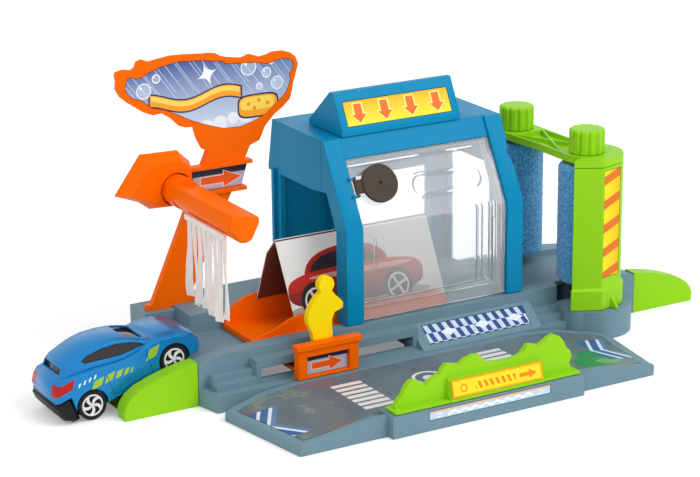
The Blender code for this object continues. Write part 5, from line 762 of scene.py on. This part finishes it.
# Prints
class PLAYSET_OT_prints(bpy.types.Operator):
    """Prints the stickers with plain signs: arrows, checks, crossings and bubbles"""

    bl_idname = "playset.prints"
    bl_label = "Stickers"

    def execute(self, context):
        for node, draw in (("tower_sign_label", self.bubbles), ("tower_arrow_label", self.tower_arrow),
                           ("carriage_label", self.tray_arrow), ("roof_label", self.roof_arrows),
                           ("checker_label", self.checks), ("column_label", self.slashes),
                           ("forecourt_label", self.waves), ("hedge_label", self.leaves),
                           ("forecourt_sticker", self.ground)):
            finish_node(node, printed(node + "_print", draw))
        return {"FINISHED"}

    def bubbles(self, pen):
        """Rain, suds, bubbles, a wave, a sponge and a star on a blue fall."""
        u, v, wide, tall = pen.face("tower_sign_label")
        navy = (0.02, 0.03, 0.11)
        slope = pen.mixture(u, 0.86, v, 0.62)
        suds = []
        for step in range(8):
            centre = (20.0 + 6.6 * step, 3.4 - 2.2 * math.sin(step * 0.72))
            suds.append(pen.disc(u, v, centre, 3.4 + 0.7 * math.sin(step * 2.3)))
        sponge = (66.0, 8.6)
        coats = [
            (pen.both(pen.below(pen.repeated(slope, 5.3), 0.35), pen.above(v, 14.0)), (0.50, 0.64, 0.86)),
            (pen.both(pen.below(pen.repeated(slope, 7.9, 2.0), 0.2), pen.above(v, 20.0)), (0.74, 0.82, 0.95)),
            (pen.either(*suds), (0.86, 0.90, 0.96)),
            (pen.blob(u, v, sponge, 10.6, 5.6, 4.0), navy),
            (pen.blob(u, v, sponge, 9.8, 4.8, 4.0), (0.98, 0.40, 0.02)),
            (pen.blob(u, v, (65.6, 9.8), 8.6, 3.0, 4.0), (1.0, 0.70, 0.10)),
        ]
        for hole in ((61.0, 9.8), (66.4, 11.0), (70.8, 9.2), (64.0, 7.6)):
            coats.append((pen.disc(u, v, hole, 0.9), (0.86, 0.30, 0.02)))
        crest = pen.math("MULTIPLY_ADD", pen.math("SINE", pen.math("MULTIPLY", u, 0.16)), 2.2, 15.5)
        lift = pen.math("SUBTRACT", v, crest)
        for low, high, left, right, tint in ((-3.2, 3.2, 11.0, 58.0, navy),
                                             (-2.5, 2.5, 11.8, 57.2, (0.98, 0.36, 0.02)),
                                             (-0.2, 2.1, 12.4, 56.6, (1.0, 0.70, 0.12))):
            coats.append((pen.both(pen.band(lift, low, high), pen.band(u, left, right)), tint))
        for centre, radius in (((9.0, 22.5), 3.4), ((15.2, 27.4), 1.9), ((6.4, 16.0), 1.4),
                               ((61.5, 27.0), 3.7), ((70.6, 23.4), 2.2), ((76.0, 18.0), 2.9),
                               ((66.8, 17.4), 1.5), ((73.0, 28.4), 1.3), ((11.0, 9.5), 2.3),
                               ((21.0, 8.6), 1.3)):
            spot = (centre[0] - radius * 0.4, centre[1] + radius * 0.4)
            coats.append((pen.both(pen.disc(u, v, centre, radius), 0.35), (0.75, 0.86, 1.0)))
            shine = pen.either(pen.ring(u, v, centre, radius, 0.5), pen.disc(u, v, spot, radius * 0.2))
            coats.append((shine, WHITE))
        x = pen.math("ABSOLUTE", pen.math("SUBTRACT", pen.mixture(u, 0.94, v, 0.34), 47.0))
        y = pen.math("ABSOLUTE", pen.math("SUBTRACT", pen.mixture(u, -0.34, v, 0.94), 11.0))
        star = pen.math("ADD", pen.math("SQRT", x), pen.math("SQRT", y))
        coats.append((pen.below(star, 2.5), (1.0, 1.0, 1.0)))
        fall = pen.mix(pen.remap(v, 2.0, tall, 0.0, 1.0), (0.62, 0.74, 0.90), (0.055, 0.105, 0.33))
        return pen.layers(fall, *coats)

    def arrow_print(self, pen, node, split, scale):
        u, v, wide, tall = pen.face(node)
        centre = pen.math("SUBTRACT", v, tall * 0.42)
        tail, tip, half, neck, shaft = wide * 0.14, wide * 0.88, tall * 0.38, wide * 0.56, tall * 0.17
        rim = 0.45 * scale
        outer = pen.arrow(u, centre, tail - rim, tip + 2 * rim, half + rim, neck - rim, shaft + rim)
        inner = pen.arrow(u, centre, tail, tip, half, neck, shaft)
        return pen.layers((0.46, 0.47, 0.60), (pen.above(v, split * tall), (0.030, 0.025, 0.060)),
                          (outer, (0.92, 0.66, 0.50)), (inner, (0.86, 0.105, 0.012)))

    def tower_arrow(self, pen):
        return self.arrow_print(pen, "tower_arrow_label", 0.66, 1.0)

    def tray_arrow(self, pen):
        return self.arrow_print(pen, "carriage_label", 0.74, 0.8)

    def roof_arrows(self, pen):
        u, v, wide, tall = pen.face("roof_label")
        colour = pen.mix(pen.remap(v, 0.0, tall, 0.0, 1.0), (1.0, 0.80, 0.03), (0.98, 0.46, 0.01))
        place = pen.math("SUBTRACT", pen.repeated(u, wide / 4), wide / 8)
        fallen = pen.math("SUBTRACT", tall, v)
        return pen.layers(colour, (pen.arrow(fallen, place, 0.8, 10.1, 4.6, 5.3, 2.7), (1.0, 0.86, 0.24)),
                          (pen.arrow(fallen, place, 1.3, 9.3, 3.8, 5.8, 2.0), (0.90, 0.16, 0.01)))

    def checks(self, pen):
        u, v, wide, tall = pen.face("checker_label")
        columns = pen.below(pen.repeated(pen.mixture(u, 1.0, v, 0.35), 5.0), 2.5)
        rows = pen.below(pen.repeated(v, 6.6, 0.6), 3.3)
        odd = pen.math("ABSOLUTE", pen.math("SUBTRACT", columns, rows))
        middle = pen.math("SUBTRACT", pen.repeated(u, 18.4, 3.0), 9.2)
        away = pen.math("ABSOLUTE", pen.math("SUBTRACT", v, tall / 2))
        glint = pen.math("ADD", pen.math("ABSOLUTE", middle), pen.math("MULTIPLY", away, 3.0))
        return pen.layers((0.60, 0.74, 0.92), (odd, (0.035, 0.080, 0.26)),
                          (pen.below(glint, 4.2), (0.86, 0.91, 0.98)))

    def slashes(self, pen):
        u, v, wide, tall = pen.face("column_label")
        step = pen.repeated(pen.mixture(v, 1.0, u, -0.30), 11.6, -1.6)
        base = pen.mix(pen.remap(u, 0.0, wide, 0.0, 1.0), (0.94, 0.80, 0.0), (1.0, 0.55, 0.0))
        return pen.mix(pen.below(step, 4.3), base, (0.78, 0.17, 0.01))

    def waves(self, pen):
        u, v, wide, tall = pen.face("forecourt_label")
        wave = pen.math("MULTIPLY", pen.math("SINE", pen.math("MULTIPLY", u, 1.15)), 0.55)
        lift = pen.math("ABSOLUTE", pen.math("SUBTRACT", v, pen.math("ADD", wave, tall * 0.40)))
        line = pen.both(pen.below(lift, 0.62), pen.band(u, 9.0, wide - 9.0))
        rings = [pen.ring(u, v, (place, tall * 0.40), 1.0, 0.4) for place in (5.0, wide - 5.0)]
        return pen.layers((0.55, 0.70, 0.88), (pen.above(v, tall * 0.78), (0.80, 0.50, 0.28)),
                          (line, (0.88, 0.93, 0.98)), (pen.either(*rings), WHITE))

    def leaves(self, pen):
        u, v, wide, tall = pen.face("hedge_label")
        edge = pen.both(pen.band(u, 0.9, wide - 0.9), pen.band(v, 0.8, tall - 0.8))
        place = pen.repeated(pen.mixture(u, 1.0, v, 0.4), 3.0)
        rows = pen.both(pen.band(v, tall * 0.28, tall * 0.66), pen.band(u, 12.0, wide - 14.0))
        middle = tall * 0.47
        arrow = pen.arrow(u, pen.math("SUBTRACT", v, middle), wide - 12.0, wide - 3.0, 2.0, wide - 7.0, 0.8)
        signs = (pen.both(rows, pen.below(place, 1.5)), pen.ring(u, v, (6.0, middle), 1.5, 0.6), arrow)
        return pen.layers((1.0, 0.40, 0.01), (edge, (1.0, 0.74, 0.02)),
                          (pen.either(*signs), (0.93, 0.25, 0.01)))

    def ground(self, pen):
        u, v, wide, deep = pen.face("forecourt_sticker", DEEP)
        grime = pen.noise(55.0, 4.0, 0.6)
        rust = pen.noise(38.0, 2.0, 0.6)
        tarmac = pen.mix(pen.remap(grime, 0.42, 0.62, 0.0, 0.8), (0.120, 0.160, 0.190), (0.160, 0.215, 0.250))
        grass = pen.either(pen.disc(u, v, (168.0, 13.0), 11.0, 1.2), pen.disc(u, v, (158.0, 7.0), 7.0))
        crossings = []
        for left, right, front, back in ((43.0, 58.2, 9.4, 41.8), (117.5, 133.0, 26.0, 43.0)):
            lanes = pen.below(pen.repeated(v, 4.7, front), 3.1)
            crossings.append(pen.both(lanes, pen.band(u, left, right), pen.band(v, front, back)))
        middle = (86.4, 27.7)
        return pen.layers(
            tarmac,
            (pen.both(pen.above(rust, 0.56), pen.below(u, 48.0), 0.35), (0.26, 0.125, 0.100)),
            (pen.both(pen.band(grime, 0.60, 0.66), pen.below(u, 60.0)), (0.21, 0.26, 0.20)),
            (pen.both(grass, pen.above(grime, 0.36)), (0.02, 0.25, 0.105)),
            (pen.disc(u, v, (169.0, 7.4), 6.4, 1.9), (0.14, 0.42, 0.12)),
            (pen.either(*crossings), (0.80, 0.78, 0.76)),
            (pen.ring(u, v, middle, 7.2, 1.5), (0.80, 0.80, 0.80)),
            (pen.disc(u, v, middle, 3.0), (0.72, 0.74, 0.76)),
            *self.chevrons(pen, u, v, (0.0, 22.0), 0.60, 16.0),
            *self.chevrons(pen, u, v, (173.6, 22.0), 0.50, 14.0))

    def chevrons(self, pen, u, v, start, slope, reach):
        """Nested chevrons in blue and white that point along the road."""
        side = pen.math("ABSOLUTE", pen.math("SUBTRACT", v, start[1]))
        place = pen.math("SUBTRACT", pen.math("SUBTRACT", u, start[0]), pen.math("MULTIPLY", side, slope))
        near = pen.both(pen.below(side, reach), pen.above(u, start[0] - 4.0))
        dark, pale = (0.045, 0.130, 0.320), (0.72, 0.82, 0.93)
        return [(pen.both(near, pen.band(place, low, high)), tint)
                for low, high, tint in ((-9.4, -4.2, dark), (-4.2, -2.4, pale), (-2.4, 1.6, dark),
                                        (1.6, 3.4, pale), (3.4, 6.0, (0.10, 0.22, 0.40)))]


# Card
class PLAYSET_OT_card(bpy.types.Operator):
    """Prints the folded card: a plain red car outside, and dark brown painted shade with a painted orange
    bounce on its inner, downward-facing sides
    """

    bl_idname = "playset.card"
    bl_label = "Folded card"

    def execute(self, context):
        finish_node("tent_card", printed("card_print", self.draw, 0.45))
        return {"FINISHED"}

    def draw(self, pen):
        u, v, wide, tall = pen.face("tent_card")
        paper = pen.mix(pen.remap(v, 0.0, tall, 0.0, 1.0), (0.80, 0.80, 0.79), (0.86, 0.85, 0.83))
        red, shade = (0.46, 0.018, 0.014), (0.085, 0.012, 0.014)
        glass = pen.both(pen.blob(u, v, (38.0, 22.0), 18.0, 8.6, 2.2), pen.above(v, 22.6))
        pillar = pen.band(pen.mixture(u, 1.0, v, 0.5), 50.5, 52.6)
        body = pen.blob(u, v, (43.0, 15.4), 35.5, 8.2, 3.2)
        flank = pen.mix(pen.remap(v, 7.6, 21.0, 0.0, 1.0), shade, (0.60, 0.030, 0.020))
        crease = pen.ridge(pen.mixture(v, 1.0, u, -0.02), 14.4, 0.6)
        coats = [
            (pen.both(pen.blob(u, v, (44.0, 7.0), 37.0, 3.4, 2.0), 0.8), (0.30, 0.29, 0.29)),
            (pen.blob(u, v, (39.0, 21.0), 22.0, 11.6, 2.3), red),
            (glass, (0.030, 0.026, 0.034)),
            (pen.both(glass, pillar), red),
            (body, flank),
            (pen.both(body, pen.blob(u, v, (46.0, 20.4), 27.0, 1.3, 2.0), 0.75), (0.95, 0.52, 0.42)),
            (pen.both(body, crease, 0.8), (0.20, 0.010, 0.010)),
        ]
        for place in (21.0, 64.5):
            near = pen.below(pen.math("MINIMUM", *self.spokes(pen, u, v, place)), 0.65)
            coats += [(pen.disc(u, v, (place, 11.0), 7.6), (0.020, 0.018, 0.020)),
                      (pen.ring(u, v, (place, 10.6), 5.2, 0.9), (0.78, 0.78, 0.80)),
                      (pen.both(pen.disc(u, v, (place, 10.6), 5.0), near), (0.70, 0.70, 0.72))]
        face = pen.node("ShaderNodeTexCoord").outputs["Normal"]
        facing = pen.node("ShaderNodeSeparateXYZ", ("Vector", face)).outputs
        coats.append((pen.both(pen.above(facing["Y"], 0.0), pen.above(facing["Z"], 0.0)), (0.80, 0.80, 0.79)))
        # Faces that point downwards, the inner sides of the fold, get a dark brown: painted shade with a
        # painted orange bounce, not the board's own colour
        coats.append((pen.below(facing["Z"], -0.05), (0.140, 0.035, 0.020)))
        return pen.layers(paper, *coats)

    def spokes(self, pen, u, v, place):
        """Distances from two crossed lines through a wheel's centre."""
        x, y = pen.math("SUBTRACT", u, place), pen.math("SUBTRACT", v, 10.6)
        lines = [pen.mixture(x, math.cos(turn), y, math.sin(turn)) for turn in (0.5, 2.0)]
        return [pen.math("ABSOLUTE", line) for line in lines]


# Car
class PLAYSET_OT_car(bpy.types.Operator):
    """Finishes the toy car and makes its rims"""

    bl_idname = "playset.car"
    bl_label = "Toy car"

    def execute(self, context):
        car = context.scene.playset_car
        black = plastic("black_plastic", (0.018, 0.018, 0.020), 0.46, rounding=0.0002)
        glazing = plastic("dark_glazing", (0.030, 0.024, 0.024), 0.08, coat=0.6, grain=0.000004,
                          rounding=0.0002)
        dressed_copy("car_body", self.enamel(car), math.radians(38))
        dressed_copy("car_windows", glazing, math.radians(38))
        dressed_copy("car_chassis", black, math.radians(32))
        rim = plastic("white_rim", car.rim, 0.30, coat=0.4, rounding=0.0002)
        for end in ("front", "rear"):
            for side, way in (("near", -1.0), ("far", 1.0)):
                name = "car_{}_wheel_{}".format(end, side)
                dressed_copy(name, black, math.radians(38))
                self.rim(name, end, side, way, car, rim)
        return {"FINISHED"}

    def rim(self, wheel, end, side, way, car, finish):
        """A dished ring with curved spokes and a small hub, on the wheel's outer face."""
        low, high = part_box(wheel)
        centre = (low + high) / 2
        radius = (high.z - low.z) / 2 * 0.74
        face = low.y if way < 0 else high.y
        deep = 0.5 * MM
        centre.y = face - way * (deep / 2 - 0.12 * MM)
        parts = []
        deselect_all()
        bpy.ops.mesh.primitive_torus_add(major_segments=48, minor_segments=10, major_radius=radius * 0.93,
                                         minor_radius=radius * 0.085, location=centre,
                                         rotation=(math.radians(90), 0, 0))
        parts.append(bpy.context.active_object)
        deselect_all()
        bpy.ops.mesh.primitive_cylinder_add(vertices=32, radius=radius * 0.20, depth=deep, location=centre,
                                            rotation=(math.radians(90), 0, 0))
        hub = bpy.context.active_object
        bevel_all(hub, radius * 0.05, 2)
        parts.append(hub)
        for count in range(car.spokes):
            parts.append(self.spoke(centre, radius, math.tau * count / car.spokes, way, deep, car))
        piece = joined(parts)
        outward(piece)
        body = "{}_wheel_{}".format(end, side)
        settle(piece, "{}_rim_{}".format(end, side), finish, body)

    def spoke(self, centre, radius, start, way, deep, car):
        deselect_all()
        bpy.ops.mesh.primitive_grid_add(x_subdivisions=2, y_subdivisions=9, size=1.0)
        spoke = bpy.context.active_object
        for vertex in spoke.data.vertices:
            share = vertex.co.y + 0.5
            reach = radius * (0.16 + 0.76 * share)
            turn = start + way * car.sweep * share * share
            wide = vertex.co.x * car.spoke_width * (0.55 + 0.45 * share)
            x = math.cos(turn) * reach - math.sin(turn) * wide
            z = math.sin(turn) * reach + math.cos(turn) * wide
            dish = way * deep * 0.30 * math.sin(math.pi * share)
            vertex.co = (centre.x + x, centre.y - dish, centre.z + z)
        apply_modifier(spoke, "SOLIDIFY", thickness=deep * 0.7, offset=0.0)
        apply_modifier(spoke, "BEVEL", width=deep * 0.14, segments=2)
        return spoke

    def enamel(self, car):
        finish, pen, shader = bare_material("car_enamel")
        rear = Vector(JOINTS["car_pitch"]["pos_m"])
        ahead = Vector((math.cos(CAR_TILT), 0, math.sin(CAR_TILT)))
        aloft = Vector((-math.sin(CAR_TILT), 0, math.cos(CAR_TILT)))
        u, v = pen.along(ahead, rear), pen.along(aloft, rear)
        side = pen.math("ABSOLUTE", pen.along(DEEP, rear))
        flake = pen.noise(5200.0, 1.0)
        coats = [(pen.remap(flake, 0.5, 0.75, 0.0, 0.15), (0.04, 0.30, 0.70))]
        flank = pen.above(side, 12.6)
        slant = pen.mixture(u, 1.0, v, -0.8)
        for start, stop, foot, head in ((-3.4, 1.6, 6.8, 10.0), (3.2, 7.2, 6.5, 9.6),
                                        (8.8, 11.8, 6.0, 8.8), (13.2, 15.4, 5.5, 7.9),
                                        (16.6, 17.8, 5.1, 7.0), (24.4, 29.6, 6.2, 10.4)):
            dash = pen.both(flank, pen.band(slant, start, stop), pen.band(v, foot, head))
            coats.append((dash, (0.36, 0.54, 0.03)))
        thin = pen.both(pen.below(pen.repeated(slant, 2.6, -12.0), 0.9), pen.band(slant, -12.0, -2.9))
        coats.append((pen.both(flank, thin, pen.band(v, 11.0, 12.5)), (0.86, 0.90, 0.94)))
        corner = pen.below(pen.mixture(u, 1.0, v, -0.65), -13.2)
        lamp = pen.both(corner, pen.band(v, 11.6, 15.6), pen.band(side, 8.2, 14.6))
        coats.append((lamp, (0.46, 0.008, 0.006)))
        upright = pen.either(pen.band(u, 10.6, 10.9), pen.band(u, 30.6, 30.9))
        level = pen.both(pen.band(v, -0.6, -0.3), pen.band(u, 10.6, 30.9))
        doors = pen.both(pen.either(upright, level), flank, pen.band(v, -0.6, 9.6))
        colour = pen.layers(tuple(car.enamel), *coats, (doors, (0.004, 0.04, 0.12)))
        outputs = pen.group(moulded_group(), Colour=colour, Roughness=0.24, Grain=0.000004, Drift=0.04,
                            Rounding=0.0005)
        lay_on(pen, shader, outputs, Metallic=0.35, Coat_Weight=0.2, Coat_Roughness=0.04,
               Specular_IOR_Level=0.20)
        return finish


# Panel and start
STEPS = ("stage", "base", "house", "tower", "foam", "strips", "prints", "card", "car")
GROUPS = (("playset_plastics", PlasticSettings), ("playset_soft", SoftSettings), ("playset_car", CarSettings),
          ("playset_stage", StageSettings))


class PLAYSET_PT_panel(bpy.types.Panel):
    """Lists the steps and settings of the playset"""

    bl_idname = "PLAYSET_PT_panel"
    bl_label = "Car wash playset"
    bl_space_type = "VIEW_3D"
    bl_region_type = "UI"
    bl_category = "Car wash"

    def draw(self, context):
        for step in STEPS:
            self.layout.operator("playset." + step)
        for name, group in GROUPS:
            column = self.layout.column(heading=name)
            for key in group.__annotations__:
                column.prop(getattr(context.scene, name), key)


CLASSES = (PlasticSettings, SoftSettings, CarSettings, StageSettings, PLAYSET_OT_stage, PLAYSET_OT_base,
           PLAYSET_OT_house, PLAYSET_OT_tower, PLAYSET_OT_foam, PLAYSET_OT_strips, PLAYSET_OT_prints,
           PLAYSET_OT_card, PLAYSET_OT_car, PLAYSET_PT_panel)


def register():
    for item in CLASSES:
        bpy.utils.register_class(item)
    for name, group in GROUPS:
        setattr(bpy.types.Scene, name, bpy.props.PointerProperty(type=group))


def unregister():
    for name, group in GROUPS:
        delattr(bpy.types.Scene, name)
    for item in reversed(CLASSES):
        bpy.utils.unregister_class(item)


def main():
    register()
    for step in STEPS:
        getattr(bpy.ops.playset, step)()


if __name__ == "__main__":
    main()
